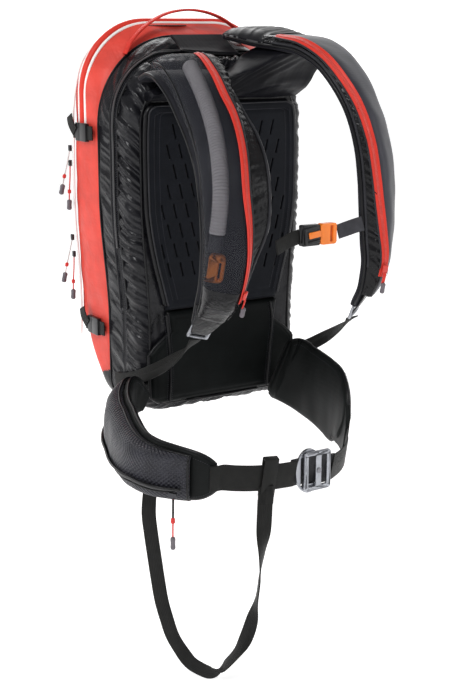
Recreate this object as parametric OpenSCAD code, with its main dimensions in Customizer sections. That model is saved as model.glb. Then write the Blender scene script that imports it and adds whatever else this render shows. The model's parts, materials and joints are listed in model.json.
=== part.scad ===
// Ski-touring backpack with an electronic airbag.
// +X is the wearer's left, the wearer stands on the -Y side, +Z is up.
// The origin is the centre of the lumbar pad's face. Millimetres.

/* [Pack body] */
// Half of the pack body's greatest width
half_w = 158; // [150:1:160]
// Height of the top panel above the lumbar centre
top_z = 467; // [460:1:472]
// Depth of the base below the lumbar centre
base_z = 90; // [84:1:96]
// Depth from the wearer's back to the front of the bag
bag_depth = 213; // [209:1:222]
// Thickness of the coated fabric with its foam lining
wall = 3; // [2:0.5:4]

/* [Back panel] */
// Thickness of the ventilated back pad
pad_t = 10; // [8:0.5:10.5]
// Length of one ventilation slit
slit_len = 22; // [16:1:26]
// Width of one ventilation slit
slit_w = 3; // [2.5:0.5:4]
// Width of each aluminium stay
stay_w = 14; // [10:1:20]

/* [Shoulder straps] */
// Thickness of the shoulder pad foam
strap_t = 12; // [10:0.5:13]
// Thickness of the pocket cloth on the straps
pocket_t = 1.2; // [1:0.1:1.6]
// Width of the red zip tape
tape_w = 11; // [8:0.5:12]
// Outer radius of the corrugated trigger hose
hose_r = 11; // [9:0.5:11.5]

/* [Webbing] */
// Width of the hip belt webbing
belt_web = 38; // [34:1:39]
// Width of the adjusting and leg strap webbing
strap_web = 20; // [18:1:22]
// Thickness of all webbing
web_t = 1.8; // [1.4:0.1:2]

/* [Hip belt] */
// Thickness of the hip wing's foam
wing_t = 14; // [10:0.5:15]
// Depth of the zipped hip pocket
pocket_depth = 26; // [20:1:28]

/* [Belt buckle] */
// Height of the aluminium belt buckle
buckle_h = 60; // [56:1:64]
// Thickness of each aluminium plate
plate_t = 4; // [3:0.25:4]

/* [Airbag system] */
// Outer radius of the fan housing
fan_r = 52; // [48:1:54]
// Radius of the motor shaft
shaft_r = 3; // [2.5:0.25:3.5]
// Number of impeller blades
blades = 12; // [8:1:16]

/* [Hidden] */

$fn = 32;
gap = 0.4;

// ---------- vectors, smooth routes and sweeps ----------
function unit(v) = v / norm(v);
function mix(a, b, t) = a + (b - a) * t;
function curve_at(p, i, t) =
    let (a = p[max(i - 1, 0)], b = p[i], c = p[i + 1], d = p[min(i + 2, len(p) - 1)])
    0.5 * (2 * b + (c - a) * t + (2 * a - 5 * b + 4 * c - d) * t * t + (3 * b - a - 3 * c + d) * t * t * t);
function at(p, u) =
    let (x = min(max(u, 0), 1) * (len(p) - 1), i = min(floor(x), len(p) - 2))
    curve_at(p, i, x - i);
function smooth(p, n) = [for (k = [0:n]) at(p, k / n)];
function tangent(r, k) = unit(r[min(k + 1, len(r) - 1)] - r[max(k - 1, 0)]);
function across(r, ups, k) = let (t = tangent(r, k)) unit(ups[k] - (ups[k] * t) * t);
function outward(r, ups, k) = cross(tangent(r, k), across(r, ups, k));
function toe(angles, side) = [for (a = angles) [cos(a), side * sin(a), 0]];
function same(v, n) = [for (k = [1:n]) v];

// closed sections, as [across, outward] points, anticlockwise
function flat(w, t, s = 0, n = 0) =
    [[s + w / 2, n - t / 2], [s + w / 2, n + t / 2], [s - w / 2, n + t / 2], [s - w / 2, n - t / 2]];
function round_end(v) = sign(v) * pow(abs(v), 0.55);
function cushion(w, t, s = 0) =
    [for (a = [15:30:345]) [s + w / 2 * round_end(cos(a)), t / 2 * round_end(sin(a))]];
function disc(r, sides) = [for (k = [0:sides - 1]) r * [cos(360 * k / sides), sin(360 * k / sides)]];
// an arched skin that stands on the pad between -w/2 and w/2, with its inner side open
function arch_line(w, h, n0) =
    [for (a = [0:20:180]) [w / 2 * round_end(cos(a)), n0 + h * round_end(sin(a))]];
function arch(w, h, t, n0) =
    concat(arch_line(w, h, n0), [for (k = [9:-1:0]) arch_line(w - 2 * t, h - t, n0)[k]]);

module loft(rings) {
    m = len(rings);
    n = len(rings[0]);
    sides = [for (k = [0:m - 2], j = [0:n - 1])
        let (a = k * n + j, b = k * n + (j + 1) % n)
        each [[a, a + n, b + n], [a, b + n, b]]];
    first = [for (j = [0:n - 1]) j];
    last = [for (j = [n - 1:-1:0]) (m - 1) * n + j];
    polyhedron([for (r = rings) each r], concat([first], sides, [last]), convexity = 10);
}

// sweeps one section per ring along the route
module sweep(route, ups, sections) {
    loft([for (k = [0:len(route) - 1])
        let (s = across(route, ups, k), o = outward(route, ups, k))
        [for (q = sections[k]) route[k] + s * q[0] + o * q[1]]]);
}

module web(route, ups, w, t, steps) {
    sweep(smooth(route, steps), smooth(ups, steps), same(flat(w, t), steps + 1));
}

module tube(route, ups, r, sides, steps) {
    sweep(smooth(route, steps), smooth(ups, steps), same(disc(r, sides), steps + 1));
}

// ---------- pack body ----------
// the body narrows to the hips below this height
function hip(z) = let (t = min(max((220 - z) / 180, 0), 1)) 1 - 0.075 * t * t * (3 - 2 * t);
function arc(x, z, r, a, n) = [for (k = [0:n]) [x + r * cos(a + 90 * k / n), z + r * sin(a + 90 * k / n)]];
function side_points(w, low, high) = [for (t = [0.25, 0.5, 0.75]) [w, mix(low, high, t)]];
function reversed(p) = [for (k = [len(p) - 1:-1:0]) p[k]];
function outline(w, high, low, r_top, r_low) = concat(
    arc(w - r_low, low + r_low, r_low, -90, 3),
    side_points(w, low + r_low, high - r_top),
    arc(w - r_top, high - r_top, r_top, 0, 6),
    arc(r_top - w, high - r_top, r_top, 90, 6),
    reversed(side_points(-w, low + r_low, high - r_top)),
    arc(r_low - w, low + r_low, r_low, 180, 3));
// a ring of the body: half width, top, base, corner radii, depth at the top and at the base
function body_ring(w, high, low, r_top, r_low, y_top, y_low) =
    [for (q = outline(w, high, low, r_top, r_low))
        [-q[0] * hip(q[1]), mix(y_low, y_top, (q[1] - low) / (high - low)), q[1]]];
function shell_ring(v, inset, shift) =
    body_ring(v[0] - inset, v[1] - inset, v[2] + inset, v[3] - inset, v[4] - inset / 2,
        v[5] + shift, v[6] + shift);

seam_y = 93.5;
rear_rings = [
    [128, 402, -76, 80, 35, 12, 12],
    [143, 413, -86, 86, 38, 24, 24],
    [half_w - 8, 422, -base_z, 90, 40, 52, 52],
    [half_w - 5, 435, -base_z, 108, 40, 72, 72],
    [half_w - 4, top_z - 20, -base_z, 124, 40, seam_y, seam_y]];
front_rings = [
    [60, 340, 110, 40, 40, bag_depth - 37, bag_depth],
    [120, 410, 30, 80, 55, bag_depth - 42, bag_depth - 4],
    [143, 438, 4, 90, 60, bag_depth - 46, bag_depth - 12],
    [half_w - 5, 454, -18, 95, 60, bag_depth - 53, bag_depth - 26],
    [half_w - 1, top_z - 3, -42, 98, 60, 146, 160],
    [half_w, top_z, -66, 100, 50, 130, 136],
    [half_w - 1, top_z - 9, -86, 110, 42, 112, 112],
    [half_w - 4, top_z - 20, -base_z, 124, 40, seam_y + gap, seam_y + gap]];

module rear_shell() {
    outer = [for (v = rear_rings) shell_ring(v, 0, 0)];
    inner = [for (k = [4:-1:0]) shell_ring(rear_rings[k], wall, k == 0 ? wall : 0)];
    color("#2b2b30") loft(concat(outer, inner));
}

module front_shell() {
    outer = [for (k = [7:-1:0]) shell_ring(front_rings[k], 0, 0)];
    inner = [for (k = [0:7]) shell_ring(front_rings[k], wall, k < 4 ? -wall : 0)];
    color("#eb483a") loft(concat(inner, outer));
}

// ---------- back panel ----------
pad_outline = [[62, 95], [90, 101], [130, 111], [170, 119], [210, 124], [300, 125], [345, 122], [358, 112]];
function mirrored(p) = concat([for (q = p) [q[1], q[0]]], [for (q = reversed(p)) [-q[1], q[0]]]);

// extrudes an x-z outline from depth y back towards the wearer by t
module slab(y, t) {
    translate([0, y, 0]) rotate([90, 0, 0]) linear_extrude(t) children();
}

slits_in_row = [2, 3, 2, 3, 4, 3, 4, 3];
slit_gap = 19.5;
module slit(x, z, lean) {
    translate([x, z]) rotate(lean) square([slit_w, slit_len], center = true);
}

module back_pad() {
    color("#34343b") slab(1 + pad_t, pad_t) difference() {
        polygon(mirrored(pad_outline));
        for (row = [0:7], side = [-1, 1]) {
            n = slits_in_row[row];
            for (col = [0:n - 1])
                slit(side * (72 + slit_gap * (col - (n - 1) / 2)), 318 - 28 * row, -14 * side);
        }
    }
}

module pad_mesh() {
    color("#a8332c") slab(12, 1) polygon([[-90, 72], [90, 72], [112, 345], [-112, 345]]);
}

module lumbar_pad() {
    shape = [[-76, 62], [-74, 110], [-64, 124], [0, 126], [14, 112], [30, 90], [61, 94]];
    color("#26262b") slab(12, 12) polygon(mirrored(shape));
}

// the yoke rises under the root of the left strap; each station has its height and its forward reach
module yoke_pad() {
    stations = [-122, -90, -40, 10, 50, 90, 122];
    heights = [372, 380, 384, 400, 424, 425, 423];
    reach = [18, 18, 20, 34, 76, 78, 76];
    low = 362;
    color("#222226") loft([for (k = [0:6])
        let (x = stations[k], h = heights[k], y = -reach[k])
        [[x, 11.6, low], [x, 11.6, h], [x, 0.3 * y, h], [x, y, h - 4],
            [x, 0.65 * y, mix(low, h, 0.57)], [x, -4, low]]]);
}

module frame_sheet() {
    color("#1c1c1f") slab(17.4, 2) difference() {
        polygon(mirrored([[-56, 100], [60, 112], [340, 112], [384, 70]]));
        for (z = [0, 90, 180, 270]) translate([0, z]) circle(22);
    }
}

module frame_stays() {
    color("#b9bcc2") for (x = [-66, 66])
        slab(20.8, 3) translate([x - stay_w / 2, -48]) square([stay_w, 400]);
}

// ---------- top ----------
module control_flap() {
    route = [[-5, 30, 425], [-2, 44, 430], [0, 60, 438], [0, 78, 448]];
    color("#303036") web(route, same([1, 0, 0], 4), 86, 2.4, 9);
}

// the loop is a folded, sewn length of webbing that stands over the middle seam
haul_t = 3;
haul_w = 12;
haul_route = [[-111, 90, 422.5], [-99, 90, 442], [-76, 90, 462], [-46, 90, 477], [-15, 90, 483],
    [14, 90, 482], [42, 90, 475], [66, 90, 463], [82, 90, 450], [92, 90, 436]];
module haul_loop() { color("#e2402f") web(haul_route, same([0, 1, 0], 10), haul_w, haul_t, 26); }

// ---------- shoulder straps ----------
right_route = [[-78, 10, 392], [-80, -12, 397], [-84, -42, 391], [-88, -78, 370], [-94, -112, 342],
    [-100, -142, 314], [-106, -168, 282], [-110, -183, 246], [-111, -188, 210], [-110, -183, 172],
    [-110, -170, 132], [-111, -148, 98], [-112, -126, 70]];
right_toe = toe([0, 0, 6, 14, 22, 28, 32, 35, 35, 35, 32, 28, 24], -1);
right_widths = [104, 102, 98, 90, 82, 76, 73, 72, 71, 68, 60, 48, 34];
left_route = [[76, 56, 446], [78, 20, 442], [82, -20, 436], [86, -60, 432], [90, -95, 426],
    [95, -128, 408], [100, -155, 378], [104, -173, 345], [108, -184, 305], [110, -188, 265],
    [110, -189, 225], [110, -190, 185], [110, -194, 150], [110, -190, 115], [111, -176, 88]];
left_toe = toe([0, 0, 4, 10, 16, 22, 27, 32, 35, 38, 42, 45, 45, 40, 34], 1);
// the right pad is wider on its inner side, where a crinkled gusset joins it
right_gusset = [0, 0, 0, 2, 8, 16, 20, 20, 16, 4, 0, 0, 0];
left_widths = [94, 96, 94, 90, 84, 80, 76, 73, 72, 72, 71, 68, 62, 50, 36];
strap_steps = 28;
// the pocket's height over the pad, from the shoulder to the lower end
right_heights = [2, 14, 29, 31, 32, 32, 32, 32, 31, 31, 28, 16, 5];
left_heights = [2, 5, 8, 10, 12, 15, 19, 23, 27, 30, 32, 31, 26, 16, 6];

module shoulder_pad(route, ups, widths, gusset) {
    n = strap_steps;
    color("#2a2a2f") sweep(smooth(route, n), smooth(ups, n),
        [for (k = [0:n]) let (e = at(gusset, k / n)) cushion(at(widths, k / n) + e, strap_t, e / 2)]);
}

// share of the pad's width that a pocket covers
pocket_share = 0.88;
// an arched cloth skin over the stretch of pad between two fractions of its length
module strap_pocket(route, ups, widths, heights, from, to) {
    us = [for (k = [0:22]) mix(from, to, k / 22)];
    color("#4b4b55", 0.7) sweep([for (u = us) at(route, u)], [for (u = us) at(ups, u)],
        [for (u = us) arch(pocket_share * at(widths, u), at(heights, u), pocket_t, strap_t / 2 + gap)]);
}

module shoulder_pad_right() { shoulder_pad(right_route, right_toe, right_widths, right_gusset); }
module shoulder_pad_left() { shoulder_pad(left_route, left_toe, left_widths, same(0, 15)); }
module trigger_pocket() { strap_pocket(right_route, right_toe, right_widths, right_heights, 0.10, 0.93); }
module strap_pocket_left() { strap_pocket(left_route, left_toe, left_widths, left_heights, 0.12, 0.94); }

// where each zip crosses the pocket's arch, in degrees from the arch's left foot
right_zip_a = [88, 88, 86, 82, 74, 58, 51, 48, 36, 27, 27, 30, 30];
left_zip_a = [120, 125, 135, 145, 152, 158, 161, 161, 161, 161, 158, 150, 140, 136, 136];
function arch_point(w, h, a) =
    [pocket_share * w / 2 * round_end(cos(a)), strap_t / 2 + gap + h * round_end(sin(a))];
function arch_edge(w, h, a) = unit(arch_point(w, h, a - 6) - arch_point(w, h, a + 6));
function turned(d) = [-d[1], d[0]];
tape_lift = 1;
function tape_section(w, h, a) =
    let (p = arch_point(w, h, a), d = arch_edge(w, h, a), n = turned(d))
    [for (q = flat(tape_w, 1.2, 0, tape_lift + 0.6)) p + d * q[0] + n * q[1]];
module strap_zip(r, ups, widths, heights, angles, from, to) {
    us = [for (k = [0:26]) mix(from, to, k / 26)];
    color("#f0503f") sweep([for (u = us) at(r, u)], [for (u = us) at(ups, u)],
        [for (u = us) tape_section(at(widths, u), at(heights, u), at(angles, u))]);
}
module strap_zip_right() {
    strap_zip(right_route, right_toe, right_widths, right_heights, right_zip_a, 0.16, 0.84);
}
module strap_zip_left() {
    strap_zip(left_route, left_toe, left_widths, left_heights, left_zip_a, 0.2, 0.89);
}

// places children in a strap's local frame: x across, y away from the wearer, z down the strap
module on_strap(route, ups, u) {
    p = at(route, u);
    t = unit(at(route, u + 0.01) - at(route, u - 0.01));
    s = unit(at(ups, u) - (at(ups, u) * t) * t);
    o = cross(t, s);
    multmatrix([[s[0], o[0], t[0], p[0]], [s[1], o[1], t[1], p[1]], [s[2], o[2], t[2], p[2]]]) children();
}

module rounded_plate(w, h, r, t) {
    linear_extrude(t, center = true) union() {
        square([w - 2 * r, h], center = true);
        square([w, h - 2 * r], center = true);
        for (x = [r - w / 2, w / 2 - r], y = [r - h / 2, h / 2 - r]) translate([x, y]) circle(r);
    }
}

// slider block, pull tape and gripping toggle, hanging along local z
module slider_and_pull(drop) {
    translate([0, 2.2, 0]) cube([8, 3.6, 11], center = true);
    translate([0, 3.4, 5.6 + drop / 2]) cube([5, 1.6, drop], center = true);
    translate([0, 5.8, 5.7 + drop]) cylinder(d = 7, h = 15);
}
module tape_slider(r, ups, widths, heights, angles, u) {
    p = arch_point(at(widths, u), at(heights, u), at(angles, u));
    d = arch_edge(at(widths, u), at(heights, u), at(angles, u));
    color("#e2402f") on_strap(r, ups, u)
        multmatrix([[d[0], -d[1], 0, p[0]], [d[1], d[0], 0, p[1]], [0, 0, 1, 0], [0, 0, 0, 1]])
        translate([0, tape_lift + 2, 0]) slider_and_pull(14);
}
module strap_slider_right() {
    tape_slider(right_route, right_toe, right_widths, right_heights, right_zip_a, 0.82);
}
module strap_slider_left() {
    tape_slider(left_route, left_toe, left_widths, left_heights, left_zip_a, 0.87);
}

// ---------- trigger ----------
hose_route = [[-84, -48, 407], [-90, -70, 396], [-96, -101, 374], [-103, -132, 347],
    [-111, -159, 319], [-119, -180, 288], [-126, -194, 258], [-131, -199, 230], [-134, -198, 205]];
module trigger_hose() { color("#8c878c") tube(hose_route, same([1, -0.5, 0], 9), hose_r, 10, 24); }

handle_u = 0.775;
module trigger_sleeve() {
    route = [[-134, -197, 203.2], [-134, -195, 194], [-134, -191, 185]];
    color("#3a3a42") tube(route, same([1, -0.5, 0], 3), 9, 10, 4);
}
module trigger_handle() {
    color("#e0812a") on_strap(right_route, right_toe, handle_u) translate([-12, 14, 0]) rotate([90, 0, 0])
        difference() {
            rounded_plate(22, 40, 8, 10);
            translate([4.5, 3, 0]) rounded_plate(3, 24, 1.4, 20);
        }
}

// ---------- strap ends and adjusting webbing ----------
module ladder_buckle() {
    color("#c9cdd4") rotate([90, 0, 0]) difference() {
        rounded_plate(strap_web + 11, 26, 4, 3);
        translate([0, 7, 0]) rounded_plate(strap_web + 2, 5, 1, 10);
        translate([0, -3.5, 0]) rounded_plate(strap_web + 2, 9, 1, 10);
    }
}
module strap_buckle_right() { on_strap(right_route, right_toe, 1) translate([0, 0, 14.5]) ladder_buckle(); }
module strap_buckle_left() { on_strap(left_route, left_toe, 1) translate([0, 0, 14.5]) ladder_buckle(); }

right_web_route = [[-113, -107, 46], [-117, -90, 29], [-123, -60, 8], [-131, -25, -13],
    [-139, 15, -32], [-144, 50, -43], [-145, 74, -47]];
left_web_route = [[112, -162, 61], [115, -145, 48], [122, -105, 26], [131, -61, 5],
    [139, -19, -14], [145, 26, -33], [145, 74, -47]];
web_turn = [[1, 0, 0], [0.8, 0, 0.6], [0.4, 0, 0.9], [0.1, 0.2, 1], [0, 0.3, 1], [0, 0.2, 1], [0, 0.1, 1]];
module strap_webbing_right() { color("#262624") web(right_web_route, web_turn, strap_web, web_t, 20); }
module strap_webbing_left() { color("#262624") web(left_web_route, web_turn, strap_web, web_t, 20); }

// ---------- chest strap ----------
chest = [15, -210, 194];
module chest_webbing_right() {
    route = [[-60, -223, 184], [-48, -219, 187], [-32, -213, 190.5], [-15.5, -210, 193.5]];
    color("#33332f") web(route, same([0, 0, 1], 4), strap_web, web_t, 9);
}
module chest_webbing_left() {
    route = [[47, -210, 194.5], [56, -212, 197], [70, -218, 202], [80, -222, 205]];
    color("#55555a") web(route, same([0, 0, 1], 4), strap_web, web_t, 9);
}
module chest_buckle_female() {
    color("#1d1d20") translate(chest - [14, 0, 0]) difference() {
        cube([28, 10, 28], center = true);
        translate([4, 0, 0]) cube([24, 6, 23], center = true);
    }
}
module chest_buckle_male() {
    color("#ee8125") translate(chest) {
        translate([14.4, 0, 0]) rotate([90, 0, 0]) difference() {
            rounded_plate(26, 28, 4, 9);
            translate([5, 0, 0]) rounded_plate(5, 22, 1, 20);
        }
        for (z = [-8, 8]) translate([-4.3, 0, z]) cube([11.4, 5, 5], center = true);
    }
}

// ---------- hip belt ----------
belt_up = [0, -0.2, 1];
right_wing_route = [[-134, 3, -66], [-146, 3, -62], [-160, -1, -60], [-180, -26, -68], [-194, -56, -74],
    [-203, -86, -79], [-212, -114, -84], [-219, -142, -88], [-222, -166, -91], [-218, -190, -93],
    [-206, -213, -95], [-188, -236, -97], [-168, -252, -98]];
right_wing_w = [30, 50, 72, 75, 75, 75, 76, 76, 76, 75, 73, 66, 48];
left_wing_route = [[84, -20, -40], [98, -22, -45], [108, -34, -51], [113, -52, -58], [114, -80, -64],
    [112, -108, -70], [107, -134, -76], [100, -155, -84], [91, -175, -98]];
left_wing_w = [84, 104, 112, 113, 114, 116, 116, 98, 56];
right_belt_route = [[-163, -258.5, -97], [-150, -265, -98.5], [-128, -273, -100.5], [-102, -278.5, -102],
    [-80, -281, -102.5], [-66.5, -281, -103]];
left_belt_route = [[84, -192, -106], [69, -209, -105.5], [56, -227, -105], [42, -245, -104.5],
    [22, -264, -104], [2, -278, -103.5], [-11.5, -286, -103]];

module wing(route, widths) {
    n = 22;
    w = smooth(widths, n);
    color("#2e2e34") sweep(smooth(route, n), same(belt_up, n + 1), [for (k = [0:n]) cushion(w[k], wing_t)]);
}
module hip_wing_right() { wing(right_wing_route, right_wing_w); }
module hip_wing_left() { wing(left_wing_route, left_wing_w); }

// hollow zipped pocket on the outside of the right wing
module hip_pocket() {
    n = 18;
    us = [for (k = [0:n]) mix(0.13, 0.9, k / n)];
    bulge = [0.2, 0.7, 0.95, 1, 1, 1, 0.95, 0.75, 0.3];
    color("#3a3a42") sweep([for (u = us) at(right_wing_route, u)], same(belt_up, n + 1),
        [for (k = [0:n]) let (w = 0.9 * at(right_wing_w, us[k]), h = pocket_depth * at(bulge, k / n))
            arch(w, h, pocket_t, wing_t / 2 + gap)]);
}
module hip_zip_slider() {
    color("#8f8f95") on_strap(right_wing_route, same(belt_up, 13), 0.86)
        translate([-17, wing_t / 2 + pocket_depth * 0.6 + 8, 0]) cube([7, 4, 11], center = true);
}

module belt_webbing_right() {
    color("#232322") web(right_belt_route, same(belt_up, 6), belt_web, web_t, 16);
}
module belt_webbing_left() {
    color("#232322") web(left_belt_route, same(belt_up, 7), belt_web, web_t, 18);
}

buckle_z = -103;
module upright(x, y) { translate([x, y, buckle_z]) rotate([90, 0, 0]) children(); }
// an oval plate behind, and a slotted plate with a rivet in front that hooks over it
module buckle_ring() {
    color("#cdd1d7") upright(-45.8, -280.5) difference() {
        linear_extrude(plate_t, center = true) scale([0.68, 1]) circle(buckle_h / 2, $fn = 64);
        translate([-10.5, 0, 0]) rounded_plate(5, belt_web + 2, 2, 20);
        translate([4, 0, 0]) rounded_plate(12, buckle_h - 24, 3, 20);
    }
}
module buckle_hook() {
    color("#d5d9df") upright(-35, -280.5 - plate_t - 1) difference() {
        rounded_plate(42, belt_web + 16, 5, plate_t);
        translate([-8.8, 0, 0]) rounded_plate(11.6, belt_web + 4, 2, 20);
        translate([10.3, 0, 0]) rounded_plate(8.6, belt_web + 2, 2, 20);
        translate([1.5, 0, 0]) cylinder(r = 2.5, h = 20, center = true);
    }
}
module buckle_rivet() {
    color("#9ba0a8") upright(-33.5, -280.5 - plate_t - 1) {
        cylinder(r = 2.5, h = plate_t, center = true);
        translate([0, 0, plate_t / 2]) cylinder(r = 3.6, h = 1.2);
    }
}

// ---------- leg strap ----------
leg_route = [[-209, -150, -112], [-211, -151, -137], [-214, -152, -170], [-212, -154, -200],
    [-209, -157, -233], [-206, -159, -261], [-202, -162, -295], [-197, -167, -322], [-191, -172, -347],
    [-182, -180, -368], [-175, -192, -382], [-167, -205, -388], [-160, -218, -389], [-151, -232, -380],
    [-145, -244, -366], [-136, -252, -350], [-128, -259, -330], [-122, -264, -305], [-117, -268, -275],
    [-114, -271, -240], [-112, -273, -205], [-111, -275, -170], [-110, -276, -132.5]];
// the strap's turn about its own run, and how far its width leans upwards
leg_turn = concat([-90, -56], same(-42, 8), [-46, -52, -62, -95, -105, -95, -66, -72],
    [-116, -122, -150, -205, -213]);
leg_lift = concat(same(0, 10), [0.3, 0.8, 1.6, 0.5], same(0, 9));
leg_up = [for (k = [0:22]) [cos(leg_turn[k]), sin(leg_turn[k]), leg_lift[k]]];
module leg_strap() { color("#262624") web(leg_route, leg_up, strap_web, web_t, 60); }
// the sewn eye that the hip belt webbing runs through
module leg_strap_loop() {
    color("#262624") on_strap(right_belt_route, same(belt_up, 6), 0.565) difference() {
        cube([58, 9, strap_web], center = true);
        cube([52, 5.4, strap_web + 2], center = true);
    }
}

// ---------- compression straps ----------
strap_levels = [312, 24];
module compression_set() {
    for (z = strap_levels, side = [-1, 1]) {
        x = half_w * hip(z) + 4.6;
        translate([side * x, 0, z]) children();
    }
}
module compression_webbing() {
    color("#262624") compression_set() {
        translate([0, 104, 0]) cube([web_t, 17, strap_web], center = true);
        translate([0, 152, 0]) cube([web_t, 11, strap_web], center = true);
    }
}
module compression_females() {
    color("#1b1b1d") compression_set() translate([0, 122.6, 0]) difference() {
        cube([6, 20, 26], center = true);
        translate([0, 3, 0]) cube([3.4, 18, 21], center = true);
    }
}
module compression_males() {
    color("#1b1b1d") compression_set() {
        translate([0, 139.6, 0]) cube([5.6, 13, 26], center = true);
        for (z = [-7, 7]) translate([0, 127.6, z]) cube([2.6, 10.6, 4], center = true);
    }
}

// ---------- pack zips ----------
zip_y = 52;
zip_half = [[148.6, 152], [151, 186], [152.2, 230], [152.2, 290], [152.2, 333], [145, 368.5], [124.9, 398.8],
    [95.4, 418.6], [60, 425.8]];
zip_route = concat([for (q = zip_half) [-q[0], zip_y, q[1]]],
    [for (q = reversed(zip_half)) [q[0], zip_y, q[1]]]);
module main_zip() { color("#161618") web(zip_route, same([0, 1, 0], 18), 6, 1.2, 48); }
module main_zip_slider() {
    color("#3c3c40") translate([154.9, zip_y, 232]) {
        cube([3.4, 7, 10], center = true);
        translate([0.6, 0, -15]) cube([1.6, 4, 19.8], center = true);
    }
}

front_half = [[145.6, 186.5, 0], [146, 182.5, 60], [150, 179, 120], [155.4, 175.5, 180], [157.4, 172, 240],
    [157.4, 169, 300], [157.2, 166, 350], [144, 163, 409], [107.5, 161, 445.5], [58, 160.5, 458.5]];
front_route = concat([for (q = front_half) [-q[0], q[1], q[2]]], [for (q = reversed(front_half)) q]);
front_ups = concat(same([0.38, 0.92, 0], 7), [[0.3, 0.9, -0.25], [0.2, 0.9, -0.35], [0, 0.9, -0.4]],
    [[0, 0.9, -0.4], [-0.2, 0.9, -0.35], [-0.3, 0.9, -0.25]], same([-0.38, 0.92, 0], 7));
module front_zip() { color("#efece8") web(front_route, front_ups, 7, 1.2, 46); }

// height, depth and outward tilt of each of the four cord pulls down the left-hand edge
pull_spots = [[286, 169.6, 14], [264, 170.8, 3], [152, 177, 14], [126, 178.6, 3]];
module front_pull(k) {
    z = pull_spots[k][0];
    y = pull_spots[k][1];
    x = -(half_w + 5.4) * hip(z) - (z > 200 ? 0 : 0.8);
    color("#e8e4de") translate([x, y, z]) {
        cube([4, 6, 9], center = true);
        rotate([0, pull_spots[k][2], 0]) {
            translate([0, 0, -39]) cylinder(r = 1, h = 34.9);
            translate([0, 0, -43.2]) cylinder(r = 2.8, h = 4.1);
            translate([0, 0, -54]) cylinder(r = 1, h = 10.7);
            translate([0, 0, -70]) cylinder(r = 4, h = 15.9);
        }
    }
}
module front_zip_pull_1() { front_pull(0); }
module front_zip_pull_2() { front_pull(1); }
module front_zip_pull_3() { front_pull(2); }
module front_zip_pull_4() { front_pull(3); }

// ---------- airbag system ----------
fan = [0, 66, 345];
module along_y(p) { translate(p) rotate([-90, 0, 0]) children(); }
module airbag_bundle() {
    route = [for (x = [-100:25:100]) [x, 132, 388 + 6 * cos(x * 0.9)]];
    color("#c8452f") sweep(smooth(route, 12), same([0, 0, 1], 13), same(cushion(84, 40), 13));
}
module outlet_neck() {
    color("#303036") along_y([0, 90.6, fan[2] + 8]) difference() {
        cylinder(r = 30, h = 19.8);
        translate([0, 0, -1]) cylinder(r = 27, h = 24);
    }
}
module fan_housing() {
    color("#27272b") along_y([0, 40, fan[2]]) {
        difference() {
            cylinder(r = fan_r, h = 50);
            translate([0, 0, -1]) cylinder(r = fan_r - 3, h = 60);
        }
        difference() {
            translate([0, 0, 44]) union() {
                cylinder(r = 19, h = 5);
                for (a = [90, 210, 330]) rotate(a) translate([17, -3, 0]) cube([fan_r - 19, 6, 5]);
            }
            translate([0, 0, 40]) cylinder(r = 16, h = 20);
        }
    }
}
module fan_motor() {
    color("#8d9097") along_y([0, 64, fan[2]]) {
        cylinder(r = 15.95, h = 26);
        translate([0, 0, -20]) cylinder(r = shaft_r, h = 20);
    }
}
module fan_impeller() {
    color("#d8d8da") along_y([0, 46, fan[2]]) difference() {
        union() {
            cylinder(r = 14, h = 16);
            for (k = [0:blades - 1])
                rotate(360 * k / blades) translate([13, -0.8, 1]) cube([fan_r - 19, 1.6, 14]);
        }
        translate([0, 0, -1]) cylinder(r = shaft_r + 0.05, h = 20);
    }
}
pack_box = [150, 42, 66];
pack_pos = [0, 46, 232];
module power_pack() {
    color("#3b3f46") difference() {
        translate(pack_pos) cube(pack_box, center = true);
        translate([50, 46, pack_pos[2] + 27]) cylinder(r = 7.2, h = 20);
        translate([50, 46, pack_pos[2] + 20]) cylinder(r = 3.2, h = 20);
    }
}
module power_button() {
    color("#3fa66a") translate([50, 46, pack_pos[2] + 30]) cylinder(r = 7, h = 5);
}
module battery_case() {
    color("#2d2f34") translate([0, 46, 170]) difference() {
        cube([70, 34, 36], center = true);
        for (x = [-17, 17]) translate([x, 0, -20]) cylinder(r = 7.4, h = 34);
    }
}
lever_pos = [-79, 46, 236];
module switch_lever() {
    color("#c33b2d") translate(lever_pos) {
        rotate([0, -90, 0]) difference() {
            cylinder(r = 5, h = 4);
            translate([0, 0, -1]) cylinder(r = 2, h = 6);
        }
        translate([-4, -3, 4.6]) cube([4, 6, 20]);
    }
}
module trigger_cable() {
    route = [[-82, 26, 384], [-83, 30, 350], [-84, 38, 315], [-83, 43, 285], [-81, 46, 261.2]];
    color("#9a9aa0") tube(route, same([1, 0, 0], 5), 2, 8, 14);
}

rear_shell();
front_shell();
back_pad();
pad_mesh();
lumbar_pad();
yoke_pad();
frame_sheet();
frame_stays();
control_flap();
haul_loop();
shoulder_pad_right();
shoulder_pad_left();
trigger_pocket();
strap_pocket_left();
strap_zip_right();
strap_zip_left();
strap_slider_right();
strap_slider_left();
trigger_hose();
trigger_sleeve();
trigger_handle();
strap_buckle_right();
strap_buckle_left();
strap_webbing_right();
strap_webbing_left();
chest_webbing_right();
chest_webbing_left();
chest_buckle_female();
chest_buckle_male();
hip_wing_right();
hip_wing_left();
hip_pocket();
hip_zip_slider();
belt_webbing_right();
belt_webbing_left();
buckle_ring();
buckle_hook();
buckle_rivet();
leg_strap();
leg_strap_loop();
compression_webbing();
compression_males();
compression_females();
main_zip();
main_zip_slider();
front_zip();
front_zip_pull_1();
front_zip_pull_2();
front_zip_pull_3();
front_zip_pull_4();
airbag_bundle();
outlet_neck();
fan_housing();
fan_motor();
fan_impeller();
power_pack();
power_button();
battery_case();
trigger_cable();
switch_lever();
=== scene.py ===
import json
import math

import bpy
import numpy as np
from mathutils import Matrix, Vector, noise


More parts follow.
